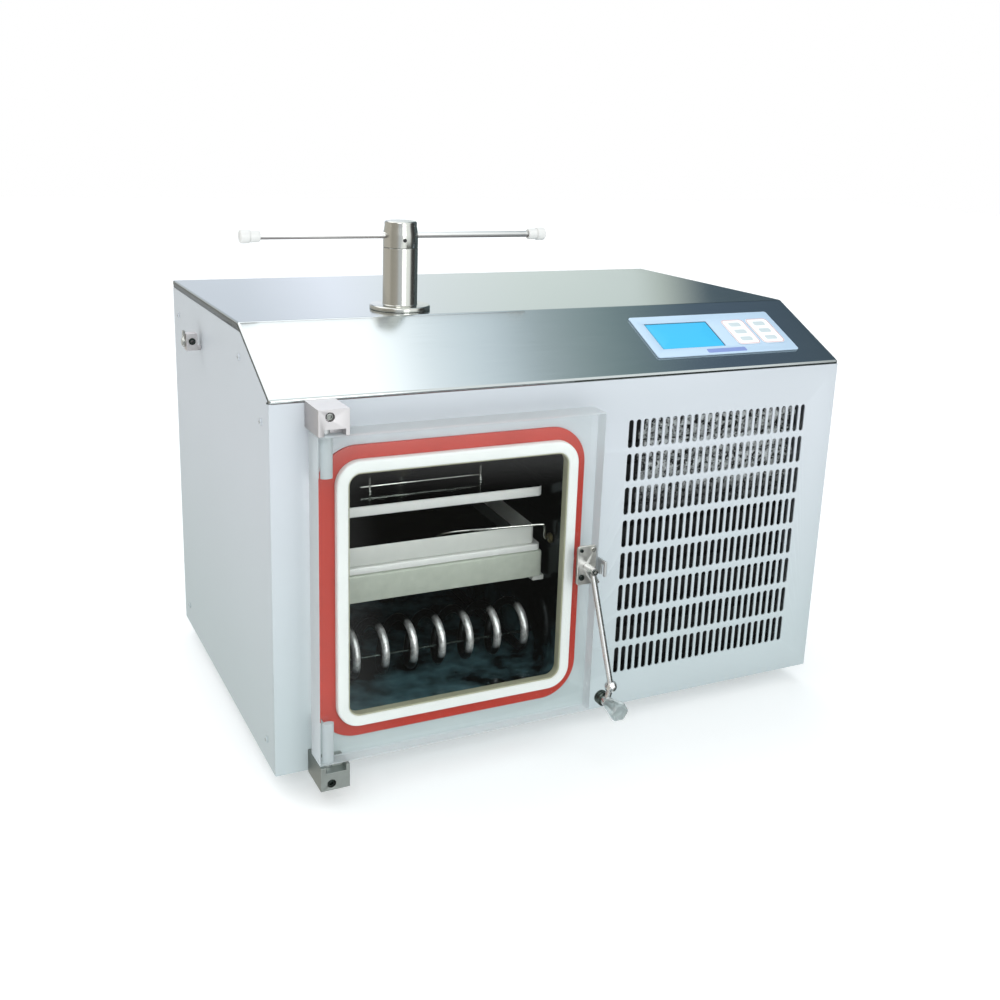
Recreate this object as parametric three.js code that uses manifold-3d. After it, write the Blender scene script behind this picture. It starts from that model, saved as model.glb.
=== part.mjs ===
// Bench-top freeze dryer with a clear front door, a cold chamber and a hand press on top.
// Millimetres, X to the right, Y to the back, Z up. Places are given from the casing's
// front left bottom corner; the last lines move the whole to its bottom centre.
import * as THREE from 'three';
import { mergeVertices } from 'three/addons/utils/BufferGeometryUtils.js';
import Module from 'manifold-3d';

const wasm = await Module();
wasm.setup();

// Fits
const gap = 0.3;                // between pieces that touch
const running = 0.3;            // radial clearance of a turning shaft

// Casing
const casingWidth = 720;
const casingDepth = 456;
const casingHeight = 471;
const frontHeight = 413;        // front face, up to the sloping console
const slopeRun = 119;           // depth of the slope, measured level
const sheet = 2;
const frontReturn = 4;          // front panel's fold round the corners
const coverLip = 4;             // top cover's fold over the front panel
const coverSkirt = 8.5;          // top cover's fold down the sides
const rearSkirt = 10;            // and down the back
const baseFlange = 18;
const footHeight = 22;
const footRadius = 18;
const footInset = 75;

// Air grille in the front panel
const slotColumns = 26;
const slotRows = 8;
const slotPitch = 10;
const rowPitch = 40.5;
const slotWidth = 6.2;
const slotLength = 33.5;
const grilleLeft = 422;         // centre of the first slot
const grilleBottom = 43;

// Chamber
const chamberCentre = 201.5;    // from the casing's left side
const chamberFloor = 66.5;
const chamberWidth = 254.5;
const chamberHeight = 270;
const chamberDepth = 322;
const chamberWall = 3;
const chamberCorner = 14;
const flangeWidth = 10;
const flangeStand = 6;          // flange in front of the front panel
const sealWidth = 12;
const sealSkirt = 3;            // seal's lip round the flange
const sealLip = 1.6;            // and its lip inside the mouth
const sealDepth = 6;            // inner lip's reach behind the front panel's face
const gasketThickness = 2.6;
const gasketSide = 23.3;        // gasket's reach past the chamber mouth
const gasketHinge = 30;         // and on the hinges' side
const gasketTop = 26;
const gasketCorner = 42;
const cradleInset = 9;

// Shelf, tray and cold coil
const shelfFront = 36;
const shelfSide = 4.75;         // between the shelf and the chamber's sides
const shelfDepth = 250;
const shelfHeight = 31;
const shelfLevel = 206;         // shelf's top face
const shelfSheet = 2.5;
const railWidth = 14;
const railHeight = 6;
const carrierSide = 2;          // carrier's edge inside the shelf's
const carrierDepth = 238;
const carrierThickness = 7;
const traySide = 7.5;           // tray's edge inside the carrier's
const trayDepth = 226;
const trayHeight = 22;
const trayWall = 1.5;
const traySetback = 3;
const coilRadius = 27;          // to the middle of the tube
const coilTube = 4.5;
const coilPitch = 34.5;
const coilShift = 6.8;          // coil's middle to the right of the chamber's
const coilRise = 5;             // coil above the chamber's floor
const coilTurns = 6;
const coilJoggle = 0.9;         // share of each turn's step that is left to its back
const coilFront = 78;           // coil's axis behind the front panel
const coilRod = 1.5;
const coilFit = 0.8;            // between the rod and the coil's inside

// Temperature probe
const probeDepth = 25;
const probeLevel = 224;
const probeRadius = 1.5;
const probeRise = 18;
const probeSocketRadius = 6;

// Hand press
const pressDepth = 166.4;
const columnRadius = 20;
const columnHeight = 70;
const columnFlangeRadius = 35;
const columnFlange = 5;
const headHeight = 20.5;
const headCapRadius = 18.5;
const headCap = 9;
const screwRadius = 8;
const barRadius = 3.5;
const barLength = 370;
const barHeight = 84;           // above the top cover
const capRadius = 7.4;
const capLength = 22;
const plateSide = 6.25;         // between the plate and the chamber's sides
const plateDepth = 250;
const plateThickness = 11;
const plateLevel = 269.5;       // underside with the press wound up
const nutRadius = 22;
const nutHeight = 16;
const screwBelowPlate = 20;
const hangerDepth = 76;
const hangerSpread = 134;
const hangerRod = 156;
const hangerHeight = 16;
const hangerRise = 6.3;         // its cross bar above the plate
const hangerShift = 5.6;        // its middle to the left of the plate's

// Door and hinges
const doorStand = 12;           // door's back face in front of the front panel
const doorThickness = 30;
const doorHingeLap = 38.25;     // door past the mouth, on the hinges' side
const doorLatchLap = 33.25;     // and on the latch's side
const doorLowLap = 40.7;
const doorHighLap = 47.2;
const doorBevel = 1.5;
const blockWidth = 32;
const blockDepth = 45;
const blockHeight = 27;
const pivotInset = 12;
const pinRadius = 6;
const pinInDoor = 45;
const pinInBlock = 12;
const notchWidth = 22;
const notchHeight = 7;
const hingeScrewRadius = 2.5;
const hingeScrewHead = 4.5;

// Latch
const latchInset = 17;          // latch axis from the door's right edge
const latchLevel = 208;
const latchBaseWidth = 24;
const latchBaseHeight = 46;
const latchBaseThickness = 3;
const camRadius = 4.4;
const camLength = 18;
const camReach = 24;
const camWidth = 8;
const camThickness = 4;
const camRest = -60;            // cam's angle above level, in degrees, unlatched
const studRadius = 2.6;
const leverRadius = 3.4;
const leverLength = 151;        // from the latch axis to the ball
const leverLean = 13;           // lever's lean from straight down, in degrees
const leverBall = 7.2;
const eyeDrop = 18;             // knob's axis below the ball
const eyeBack = 5;              // and towards the hinges
const eyeRadius = 6;
const eyeLength = 8;
const crankPin = 2.7;
const collarRadius = 8.5;
const collarLength = 9;
const knobRadius = 11.5;
const knobNeck = 8;
const knobLength = 27;
const keeperWidth = 3;
const keeperHeight = 18;
const keeperLip = 3.5;
const keeperWeb = 4.5;
const keeperDrop = 3;           // keeper's middle below the latch axis
const keeperSpace = 1.5;        // between the door's edge and the keeper

// Console on the slope
const panelLeft = 468;
const panelWidth = 207;
const panelRise = 25.5;         // panel's lower edge, up the slope
const panelHeight = 80;
const panelThickness = 1.6;
const displayLeft = 14;
const displayRise = 14.5;
const displayWidth = 92;
const displayHeight = 52;
const displayDepth = 22;
const keypadLeft = 125;
const keypadRise = 14.5;
const keypadWidth = 34;
const keypadHeight = 50;
const keypadSpace = 3.5;
const keypadThickness = 0.8;

// Refrigeration behind the grille
const coreMargin = 8;           // cooler's reach past the grille
const coreDepth = 38;
const coreFins = 14;
const coreStand = 22;           // cooler behind the front panel
const fanRadius = 104;
const fanTip = 4;
const fanHub = 30;
const fanDepth = 26;
const fanBlades = 5;
const shroudSheet = 3;
const shroudRing = 30;
const motorRadius = 38;
const motorLength = 48;
const motorArm = 10;
const compressorRadius = 72;
const compressorHeight = 185;
const compressorFoot = 10;
const compressorBack = 42;      // between it and the rear panel

// Services
const portRadius = 14;
const portBore = 11;
const portFlange = 20;
const portStand = 25;
const portLevel = 262;
const inletLeft = 560;
const inletLevel = 60;
const inletWidth = 48;
const inletHeight = 28;
const inletDepth = 32;
const inletRim = 6;
const ventSlots = 14;
const ventWidth = 5;
const ventLength = 120;
const valveDepth = 300;
const valveLevel = 411;         // its pipe's
const valveRise = 8;            // body's middle above its pipe
const valveLength = 13;
const valveWidth = 14;
const valveHeight = 20;
const valvePipe = 5;
const valvePipeRadius = 3.2;
const valveBore = 2.2;
const valveLever = 19;
const valveMouth = 9;           // its mouth's level above its pipe

// Worked out from the above
const slope = Math.atan2(casingHeight - frontHeight, slopeRun);
const chamberTop = chamberFloor + chamberHeight;
const chamberMiddle = chamberFloor + chamberHeight / 2;
const chamberLeft = chamberCentre - chamberWidth / 2;
const chamberRight = chamberCentre + chamberWidth / 2;
const shelfWidth = chamberWidth - 2 * shelfSide;
const carrierWidth = shelfWidth - 2 * carrierSide;
const trayWidth = carrierWidth - 2 * traySide;
const plateWidth = chamberWidth - 2 * plateSide;
const doorLeft = chamberLeft - doorHingeLap;
const doorWidth = chamberWidth + doorHingeLap + doorLatchLap;
const doorBottom = chamberFloor - doorLowLap;
const doorHeight = chamberHeight + doorLowLap + doorHighLap;
const doorFace = -(doorStand + doorThickness);
const pivotX = doorLeft + pivotInset;
const pivotY = -(doorStand + doorThickness / 2);
const latchX = doorLeft + doorWidth - latchInset;
const crankY = doorFace - latchBaseThickness - 2 * gap - camLength + leverRadius + 2;

const colours = {
  paint: [0xcdd3d6, 0.45, 0.1],
  stainless: [0xb9bbb4, 0.3, 1],
  darkSteel: [0x55605c, 0.35, 1],
  acrylic: [0xdfeae6, 0.05, 0],
  silicone: [0xedefef, 0.6, 0],
  redSilicone: [0xbc4336, 0.55, 0],
  rubber: [0x222222, 0.8, 0],
  whitePlastic: [0xf0f0ee, 0.4, 0],
  screen: [0x3fc3ec, 0.2, 0],
  panelFilm: [0xd9e6f2, 0.5, 0],
  blackPlastic: [0x1e1f20, 0.5, 0],
  bronze: [0x9a7440, 0.4, 1],
  aluminium: [0xa9adb0, 0.4, 1],
  blackEnamel: [0x15171a, 0.3, 0.2],
};

const dryer = new THREE.Group();

// A mesh of one closed body, with its own material.
function piece(name, geometry, finish, parent = dryer) {
  const [color, roughness, metalness] = colours[finish];
  const material = new THREE.MeshStandardMaterial({ color, roughness, metalness });
  const mesh = new THREE.Mesh(geometry, material);
  mesh.name = name;
  parent.add(mesh);
  return mesh;
}

// A closed geometry as a solid that can be joined and cut.
function solid(geometry) {
  const bare = geometry.clone();
  bare.deleteAttribute('normal');
  bare.deleteAttribute('uv');
  const merged = mergeVertices(bare, 1e-4);
  const index = merged.index.array;
  const kept = [];
  for (let i = 0; i < index.length; i += 3) {
    const [a, b, c] = [index[i], index[i + 1], index[i + 2]];
    if (a !== b && b !== c && c !== a) kept.push(a, b, c);
  }
  const vertProperties = new Float32Array(merged.attributes.position.array);
  const triVerts = new Uint32Array(kept);
  return new wasm.Manifold(new wasm.Mesh({ numProp: 3, vertProperties, triVerts }));
}

// The geometry of a solid.
function geometryOf(body) {
  const { numProp, vertProperties, triVerts } = body.getMesh();
  const count = vertProperties.length / numProp;
  const position = new Float32Array(count * 3);
  for (let i = 0; i < count; i += 1) {
    position.set(vertProperties.subarray(i * numProp, i * numProp + 3), i * 3);
  }
  const geometry = new THREE.BufferGeometry();
  geometry.setAttribute('position', new THREE.BufferAttribute(position, 3));
  geometry.setIndex(new THREE.BufferAttribute(new Uint32Array(triVerts), 1));
  geometry.computeVertexNormals();
  return geometry;
}

// The first shape with others joined to it, and others cut away.
function shaped(base, { joined = [], cut = [] } = {}) {
  let body = solid(base);
  for (const geometry of joined) body = body.add(solid(geometry));
  for (const geometry of cut) body = body.subtract(solid(geometry));
  return geometryOf(body);
}

function box(x0, x1, y0, y1, z0, z1) {
  const geometry = new THREE.BoxGeometry(x1 - x0, y1 - y0, z1 - z0);
  return geometry.translate((x0 + x1) / 2, (y0 + y1) / 2, (z0 + z1) / 2);
}

// A flat outline from a list of points.
function outline(points) {
  return new THREE.Shape(points.map(([u, v]) => new THREE.Vector2(u, v)));
}

// A rectangle with round corners, given by its middle and size.
function roundRect(u, v, width, height, radius) {
  const [left, right] = [u - width / 2, u + width / 2];
  const [low, high] = [v - height / 2, v + height / 2];
  const shape = new THREE.Shape();
  shape.moveTo(left + radius, low);
  shape.absarc(right - radius, low + radius, radius, -Math.PI / 2, 0, false);
  shape.absarc(right - radius, high - radius, radius, 0, Math.PI / 2, false);
  shape.absarc(left + radius, high - radius, radius, Math.PI / 2, Math.PI, false);
  shape.absarc(left + radius, low + radius, radius, Math.PI, Math.PI * 1.5, false);
  return shape;
}

const standing = new THREE.Matrix4().makeBasis(
  new THREE.Vector3(1, 0, 0), new THREE.Vector3(0, 0, 1), new THREE.Vector3(0, -1, 0));
const sideways = new THREE.Matrix4().makeBasis(
  new THREE.Vector3(0, 1, 0), new THREE.Vector3(0, 0, 1), new THREE.Vector3(1, 0, 0));

// An outline drawn in X and Z, carried from the front y0 to the back y1.
function acrossY(shape, y0, y1, steps = 5) {
  const geometry = new THREE.ExtrudeGeometry(
    shape, { depth: y1 - y0, bevelEnabled: false, curveSegments: steps });
  return geometry.applyMatrix4(standing).translate(0, y1, 0);
}

// An outline drawn in Y and Z, carried from x0 to x1.
function acrossX(shape, x0, x1, steps = 5) {
  const geometry = new THREE.ExtrudeGeometry(
    shape, { depth: x1 - x0, bevelEnabled: false, curveSegments: steps });
  return geometry.applyMatrix4(sideways).translate(x0, 0, 0);
}

// An outline drawn in X and Y, carried from z0 to z1.
function acrossZ(shape, z0, z1, steps = 5) {
  const geometry = new THREE.ExtrudeGeometry(
    shape, { depth: z1 - z0, bevelEnabled: false, curveSegments: steps });
  return geometry.translate(0, 0, z0);
}

// A turned piece about Z: its profile lists [radius, height] up the outside, and down
// the bore if it has one.
function turned(profile, steps = 24) {
  const points = profile.map(([radius, height]) => new THREE.Vector2(radius, height));
  const bored = profile[0][0] > 0;
  if (bored) points.push(points[0].clone());
  return new THREE.LatheGeometry(points, steps).rotateX(Math.PI / 2);
}

// A cylinder about Z at [x, y] between two heights.
function pin(x, y, radius, z0, z1, steps = 24) {
  const profile = [[0, z0], [radius, z0], [radius, z1], [0, z1]];
  return turned(profile, steps).translate(x, y, 0);
}

// The same about Y, at [x, z], from the front y0 to the back y1.
function pinY(x, z, radius, y0, y1, steps = 24) {
  return pin(0, 0, radius, -y1, -y0, steps).rotateX(Math.PI / 2).translate(x, 0, z);
}

// The same about X, at [y, z], from x0 to x1.
function pinX(y, z, radius, x0, x1, steps = 24) {
  return pin(0, 0, radius, x0, x1, steps).rotateY(Math.PI / 2).translate(0, y, z);
}

// A round bar along a curve.
function tube(curve, radius, steps, sides = 8) {
  const circle = new THREE.Shape().absarc(0, 0, radius, 0, Math.PI * 2, false);
  return new THREE.ExtrudeGeometry(
    circle, { steps, extrudePath: curve, bevelEnabled: false, curveSegments: sides / 2 });
}

// A straight round bar between two points.
function rod(from, to, radius, sides = 12) {
  const [a, b] = [new THREE.Vector3(...from), new THREE.Vector3(...to)];
  const along = b.clone().sub(a);
  const turn = new THREE.Quaternion().setFromUnitVectors(
    new THREE.Vector3(0, 0, 1), along.clone().normalize());
  const bar = pin(0, 0, radius, 0, along.length(), sides);
  return bar.applyQuaternion(turn).translate(a.x, a.y, a.z);
}

const degrees = Math.PI / 180;

// Painted casing ---------------------------------------------------------------

// Height of the slope's outer face at a depth behind the front.
function slopeAt(depth) {
  return frontHeight + depth * Math.tan(slope);
}

function slotOutline(x, z) {
  const end = slotWidth / 2;
  const top = z + slotLength;
  return new THREE.Path([
    [x - end, z + end], [x, z], [x + end, z + end], [x + end, top - end], [x, top],
    [x - end, top - end],
  ].map(([u, v]) => new THREE.Vector2(u, v)));
}

function frontPanel() {
  const top = frontHeight - coverLip - gap;
  const face = outline([[0, 0], [casingWidth, 0], [casingWidth, top], [0, top]]);
  for (let column = 0; column < slotColumns; column += 1) {
    for (let row = 0; row < slotRows; row += 1) {
      face.holes.push(slotOutline(
        grilleLeft + column * slotPitch, grilleBottom + row * rowPitch));
    }
  }
  const flange = flangeWidth + gap;
  const mouth = roundRect(
    chamberCentre, chamberMiddle, chamberWidth + 2 * flange, chamberHeight + 2 * flange,
    chamberCorner + flange);
  face.holes.push(new THREE.Path(mouth.getPoints(5)));
  const left = box(0, sheet, sheet / 2, frontReturn, 0, top);
  const right = box(casingWidth - sheet, casingWidth, sheet / 2, frontReturn, 0, top);
  const screwHoles = hingeScrewHeights().map(
    (z) => pinY(pivotX, z, hingeScrewRadius + gap, -1, sheet + 1, 12));
  return shaped(acrossY(face, 0, sheet, 3), { joined: [left, right], cut: screwHoles });
}

// Side panels reach up to the top cover: under its skirt, then along the slope.
function sidePanel(x0) {
  const clear = (sheet + gap) / Math.cos(slope);
  const top = casingHeight - coverSkirt - gap;
  const front = frontReturn + gap;
  const bend = (top + clear - frontHeight) / Math.tan(slope);
  const rear = casingDepth - sheet - gap;
  const rearTop = casingHeight - rearSkirt - gap;
  const profile = outline([
    [front, 0], [casingDepth, 0], [casingDepth, rearTop], [rear, rearTop], [rear, top],
    [bend, top], [front, slopeAt(front) - clear],
  ]);
  return acrossX(profile, x0, x0 + sheet);
}

function topCover() {
  const innerBend = slopeRun + sheet * Math.tan(slope / 2);
  const innerFront = slopeAt(sheet) - sheet / Math.cos(slope);
  const profile = outline([
    [0, frontHeight - coverLip], [sheet, frontHeight - coverLip], [sheet, innerFront],
    [innerBend, casingHeight - sheet], [casingDepth - sheet, casingHeight - sheet],
    [casingDepth - sheet, casingHeight - rearSkirt],
    [casingDepth, casingHeight - rearSkirt], [casingDepth, casingHeight],
    [slopeRun, casingHeight], [0, frontHeight],
  ]);
  const skirts = [0, casingWidth - sheet].map((x) => {
    const low = casingHeight - coverSkirt;
    const start = (low + sheet / Math.cos(slope) - frontHeight) / Math.tan(slope);
    const skirt = outline([
      [start, low], [casingDepth, low], [casingDepth, casingHeight - sheet / 2],
      [slopeRun, casingHeight - sheet / 2],
    ]);
    return acrossX(skirt, x, x + sheet);
  });
  const bore = pin(chamberCentre, pressDepth, screwRadius + 2,
    casingHeight - 3 * sheet, casingHeight + sheet);
  const window = box(
    panelLeft + displayLeft - 2, panelLeft + displayLeft + displayWidth + 2,
    panelRise + displayRise - 2, panelRise + displayRise + displayHeight + 2, -8, 4);
  window.rotateX(slope).translate(0, 0, frontHeight);
  return shaped(acrossX(profile, 0, casingWidth), { joined: skirts, cut: [bore, window] });
}

function basePan() {
  const edge = sheet + gap;
  const outer = box(edge, casingWidth - edge, edge, casingDepth - edge, 0, baseFlange);
  const inner = box(edge + sheet, casingWidth - edge - sheet, edge + sheet,
    casingDepth - edge - sheet, sheet, baseFlange + 1);
  const screwHole = pinY(pivotX, hingeScrewHeights()[1], hingeScrewRadius + gap,
    sheet, edge + sheet + 1, 12);
  return shaped(outer, { cut: [inner, screwHole] });
}

function rearPanel() {
  const edge = sheet + gap;
  const plate = box(edge, casingWidth - edge, casingDepth - sheet, casingDepth,
    0, casingHeight - rearSkirt - gap);
  const port = pinY(chamberCentre, portLevel, portRadius + gap,
    casingDepth - 2 * sheet, casingDepth + sheet);
  const inlet = box(inletLeft - gap, inletLeft + inletWidth + gap,
    casingDepth - 2 * sheet, casingDepth + sheet,
    inletLevel - gap, inletLevel + inletHeight + gap);
  const cuts = [port, inlet];
  for (let i = 0; i < ventSlots; i += 1) {
    const x = grilleLeft + 2 * i * slotPitch;
    cuts.push(box(x, x + ventWidth, casingDepth - 2 * sheet, casingDepth + sheet,
      portLevel - ventLength / 2, portLevel + ventLength / 2));
  }
  return shaped(plate, { cut: cuts });
}

function foot() {
  return turned([
    [0, -footHeight], [footRadius - 3, -footHeight], [footRadius - 1, 2 - footHeight],
    [footRadius, -gap], [0, -gap],
  ], 16);
}

function casing() {
  piece('base_pan', basePan(), 'paint');
  piece('front_panel', frontPanel(), 'paint');
  piece('left_panel', sidePanel(0), 'paint');
  piece('right_panel', sidePanel(casingWidth - sheet), 'paint');
  piece('rear_panel', rearPanel(), 'paint');
  piece('top_cover', topCover(), 'stainless');
  for (const [end, y] of [['front', footInset], ['rear', casingDepth - footInset]]) {
    piece(`foot_${end}_left`, foot(), 'rubber').position.set(footInset, y, 0);
    piece(`foot_${end}_right`, foot(), 'rubber').position.set(casingWidth - footInset, y, 0);
  }
}

// Chamber, gasket and seal -------------------------------------------------------

// A ring round the chamber mouth, between two outlines that far outside it.
function mouthRing(inside, outsideX, outsideZ, corner, y0, y1) {
  const ring = roundRect(chamberCentre, chamberMiddle, chamberWidth + 2 * outsideX,
    chamberHeight + 2 * outsideZ, corner);
  const hole = roundRect(chamberCentre, chamberMiddle, chamberWidth + 2 * inside,
    chamberHeight + 2 * inside, chamberCorner + inside);
  ring.holes.push(new THREE.Path(hole.getPoints(5)));
  return acrossY(ring, y0, y1);
}

function chamberBody() {
  const wall = chamberWall;
  const shell = box(chamberLeft - wall, chamberRight + wall, sheet + gap,
    chamberDepth + wall, chamberFloor - wall, chamberTop + wall);
  const flange = mouthRing(-1, flangeWidth, flangeWidth, chamberCorner + flangeWidth,
    -flangeStand, sheet + 2);
  const cavity = acrossY(roundRect(chamberCentre, chamberMiddle, chamberWidth,
    chamberHeight, chamberCorner), -flangeStand - 1, chamberDepth);
  const roofHole = pin(chamberCentre, pressDepth, screwRadius + running,
    chamberTop - 1, chamberTop + wall + 1);
  const portHole = pinY(chamberCentre, portLevel, portBore,
    chamberDepth - 1, chamberDepth + wall + 1);
  const probeHole = pinX(probeDepth, probeLevel, probeSocketRadius - 2 + gap,
    chamberRight - 1, chamberRight + wall + 1, 16);
  return shaped(shell, { joined: [flange], cut: [cavity, roofHole, portHole, probeHole] });
}

// The seal sits on the flange, with a skirt round it and a lip inside the mouth.
function doorSeal() {
  const front = gap - doorStand;
  const back = -flangeStand - gap;
  const face = mouthRing(-sealLip, sealWidth, sealWidth, chamberCorner + sealWidth,
    front, back);
  const lip = mouthRing(-sealLip, -gap, -gap, chamberCorner - gap, back - 1, sealDepth);
  const skirt = mouthRing(flangeWidth + gap, sealWidth, sealWidth,
    chamberCorner + sealWidth, back - 1, back + sealSkirt);
  return shaped(face, { joined: [skirt, lip] });
}

function frontGasket() {
  const inside = flangeWidth + gap;
  const ring = roundRect(chamberCentre + (gasketSide - gasketHinge) / 2, chamberMiddle,
    chamberWidth + gasketSide + gasketHinge, chamberHeight + 2 * gasketTop, gasketCorner);
  const hole = roundRect(chamberCentre, chamberMiddle, chamberWidth + 2 * inside,
    chamberHeight + 2 * inside, chamberCorner + inside);
  ring.holes.push(new THREE.Path(hole.getPoints(5)));
  return acrossY(ring, -gasketThickness - gap, -gap);
}

function chamberCradle() {
  const [left, right] = [chamberLeft + cradleInset, chamberRight - cradleInset];
  const [low, high] = [sheet + gap, chamberFloor - chamberWall - gap];
  const outer = box(left, right, 40, chamberDepth - 40, low, high);
  const hollow = box(left + 3, right - 3, 39, chamberDepth - 39, low - 1, high - 3);
  return shaped(outer, { cut: [hollow] });
}

function chamber() {
  piece('chamber', chamberBody(), 'stainless');
  piece('chamber_cradle', chamberCradle(), 'paint');
  piece('front_gasket', frontGasket(), 'redSilicone');
  piece('door_seal', doorSeal(), 'silicone');
}

// Shelf, tray, cold coil and probe -------------------------------------------------

// A heated shelf folded from sheet, open below.
function shelf() {
  const [left, right] = [chamberCentre - shelfWidth / 2, chamberCentre + shelfWidth / 2];
  const low = shelfLevel - shelfHeight;
  const outer = box(left, right, shelfFront, shelfFront + shelfDepth, low, shelfLevel);
  const hollow = box(left + shelfSheet, right - shelfSheet, shelfFront + shelfSheet,
    shelfFront + shelfDepth - shelfSheet, low - 1, shelfLevel - shelfSheet);
  return shaped(outer, { cut: [hollow] });
}

function shelfRail(x0) {
  const high = shelfLevel - shelfHeight - gap;
  return box(x0, x0 + railWidth, shelfFront + 4, chamberDepth - gap, high - railHeight, high);
}

function trayCarrier() {
  const low = shelfLevel + gap;
  const shape = roundRect(chamberCentre, shelfFront + 1 + carrierDepth / 2,
    carrierWidth, carrierDepth, 6);
  return acrossZ(shape, low, low + carrierThickness, 3);
}

function tray() {
  const low = shelfLevel + carrierThickness + 2 * gap;
  const middle = shelfFront + 1 + traySetback + trayDepth / 2;
  const inner = 2 * trayWall;
  const outside = acrossZ(
    roundRect(chamberCentre, middle, trayWidth, trayDepth, 4), low, low + trayHeight, 3);
  const inside = acrossZ(
    roundRect(chamberCentre, middle, trayWidth - inner, trayDepth - inner, 4 - trayWall),
    low + trayWall, low + trayHeight + 1, 3);
  return shaped(outside, { cut: [inside] });
}

const coilAxis = chamberFloor + coilRadius + coilTube + coilRise;

// The cold coil comes in along the top, winds across the chamber and leaves along
// the floor, half a turn later. Each turn stands nearly square to the axis in front
// and steps over to the next behind.
class ColdCoil extends THREE.Curve {
  getPoint(t, target = new THREE.Vector3()) {
    const leg = chamberDepth - gap - coilFront;
    const turns = coilTurns + 0.5;
    const wound = turns * Math.PI * 2 * coilRadius;
    const along = t * (wound + 2 * leg);
    const start = chamberCentre + coilShift - turns * coilPitch / 2;
    const across = (angle) => start
      + coilPitch / (Math.PI * 2) * (angle + coilJoggle * Math.cos(angle));
    if (along < leg) {
      return target.set(across(0), coilFront + leg - along, coilAxis + coilRadius);
    }
    if (along > leg + wound) {
      const back = along - leg - wound;
      return target.set(
        across(turns * Math.PI * 2), coilFront + back, coilAxis - coilRadius);
    }
    const angle = (along - leg) / coilRadius;
    return target.set(
      across(angle),
      coilFront - coilRadius * Math.sin(angle),
      coilAxis + coilRadius * Math.cos(angle));
  }
}

function coilSupport() {
  const reach = coilRadius - coilTube - coilRod - coilFit;
  const y = coilFront - reach * Math.cos(6 * degrees);
  const z = coilAxis - reach * Math.sin(6 * degrees);
  return pinX(y, z, coilRod, chamberLeft + gap, chamberRight - gap, 8);
}

// The probe's thin sheath rises from its socket, bends over and dips into the tray.
function probeLead() {
  const x = chamberRight;
  const top = probeLevel + probeRise - probeRadius;
  const y = probeDepth;
  const points = [
    [x - 4 - gap, y, probeLevel], [x - 8, y, probeLevel + 1], [x - 9, y - 1, probeLevel + 7],
    [x - 8.5, y - 1, top - 4], [x - 13, y, top], [x - 40, y + 6, top],
    [x - 90, y + 25, top - 1], [x - 112, y + 36, top - 5], [x - 128, y + 46, top - 16],
  ].map((p) => new THREE.Vector3(...p));
  return tube(new THREE.CatmullRomCurve3(points), probeRadius, 32, 6);
}

function probeSocket() {
  const turn = [
    [0, -4], [probeSocketRadius, -4], [probeSocketRadius, -gap],
    [probeSocketRadius - 2, -gap], [probeSocketRadius - 2, 8], [0, 8],
  ];
  return turned(turn, 16).rotateY(Math.PI / 2).translate(chamberRight, probeDepth, probeLevel);
}

function chamberFittings() {
  piece('shelf_rail_left', shelfRail(chamberLeft + gap), 'stainless');
  piece('shelf_rail_right', shelfRail(chamberRight - gap - railWidth), 'stainless');
  piece('shelf', shelf(), 'stainless');
  piece('tray_carrier', trayCarrier(), 'stainless');
  piece('tray', tray(), 'stainless');
  piece('cold_coil', tube(new ColdCoil(), coilTube, 130, 8), 'stainless');
  piece('coil_support', coilSupport(), 'stainless');
  piece('probe_lead', probeLead(), 'stainless');
  piece('probe_socket', probeSocket(), 'bronze');
}

// Hand press ---------------------------------------------------------------------

function pressColumn() {
  const low = casingHeight + gap;
  const rim = low + columnFlange;
  const bore = screwRadius + running;
  return turned([
    [bore + 4, low], [columnFlangeRadius - 1, low], [columnFlangeRadius, low + 1],
    [columnFlangeRadius, rim - 2], [columnFlangeRadius - 2, rim], [columnRadius, rim],
    [columnRadius, low + columnHeight], [bore, low + columnHeight],
    [bore, low + columnHeight - 18], [bore + 4, low + columnHeight - 18],
  ], 32).translate(chamberCentre, pressDepth, 0);
}

const headLow = casingHeight + columnHeight + 2 * gap;
const screwTop = casingHeight + barHeight - barRadius - 2;

function pressHead() {
  const shoulder = headLow + headHeight;
  const profile = [
    [0, headLow], [columnRadius - 1, headLow], [columnRadius, headLow + 1],
    [columnRadius, shoulder - 1], [columnRadius - 1, shoulder], [headCapRadius, shoulder],
    [headCapRadius, shoulder + headCap - 1], [headCapRadius - 1, shoulder + headCap],
    [0, shoulder + headCap],
  ];
  const body = turned(profile, 32).translate(chamberCentre, pressDepth, 0);
  const bar = pinX(pressDepth, casingHeight + barHeight, barRadius + gap,
    chamberCentre - 2 * columnRadius, chamberCentre + 2 * columnRadius, 16);
  const socket = pin(chamberCentre, pressDepth, screwRadius + gap, headLow - 1, screwTop + gap);
  return shaped(body, { cut: [bar, socket] });
}

function pressBar() {
  const half = barLength / 2 - 2;
  return pinX(pressDepth, casingHeight + barHeight, barRadius,
    chamberCentre - half, chamberCentre + half, 16);
}

// An end cap, for the right end or mirrored for the left.
function barCap(side) {
  const inner = barRadius + gap;
  const half = barLength / 2;
  const cap = turned([
    [inner, half - capLength], [capRadius - 2, half - capLength],
    [capRadius - 1.2, half - capLength + 1], [capRadius - 1, half - capLength / 2 - 0.5],
    [capRadius, half - capLength / 2 + 0.5], [capRadius, half - 1.5], [capRadius - 1.5, half],
    [0, half], [0, half - 2 + gap], [inner, half - 2 + gap],
  ], 20);
  cap.rotateY(side * Math.PI / 2);
  return cap.translate(chamberCentre, pressDepth, casingHeight + barHeight);
}

function pressScrew() {
  return pin(chamberCentre, pressDepth, screwRadius, plateLevel - screwBelowPlate, screwTop);
}

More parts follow.
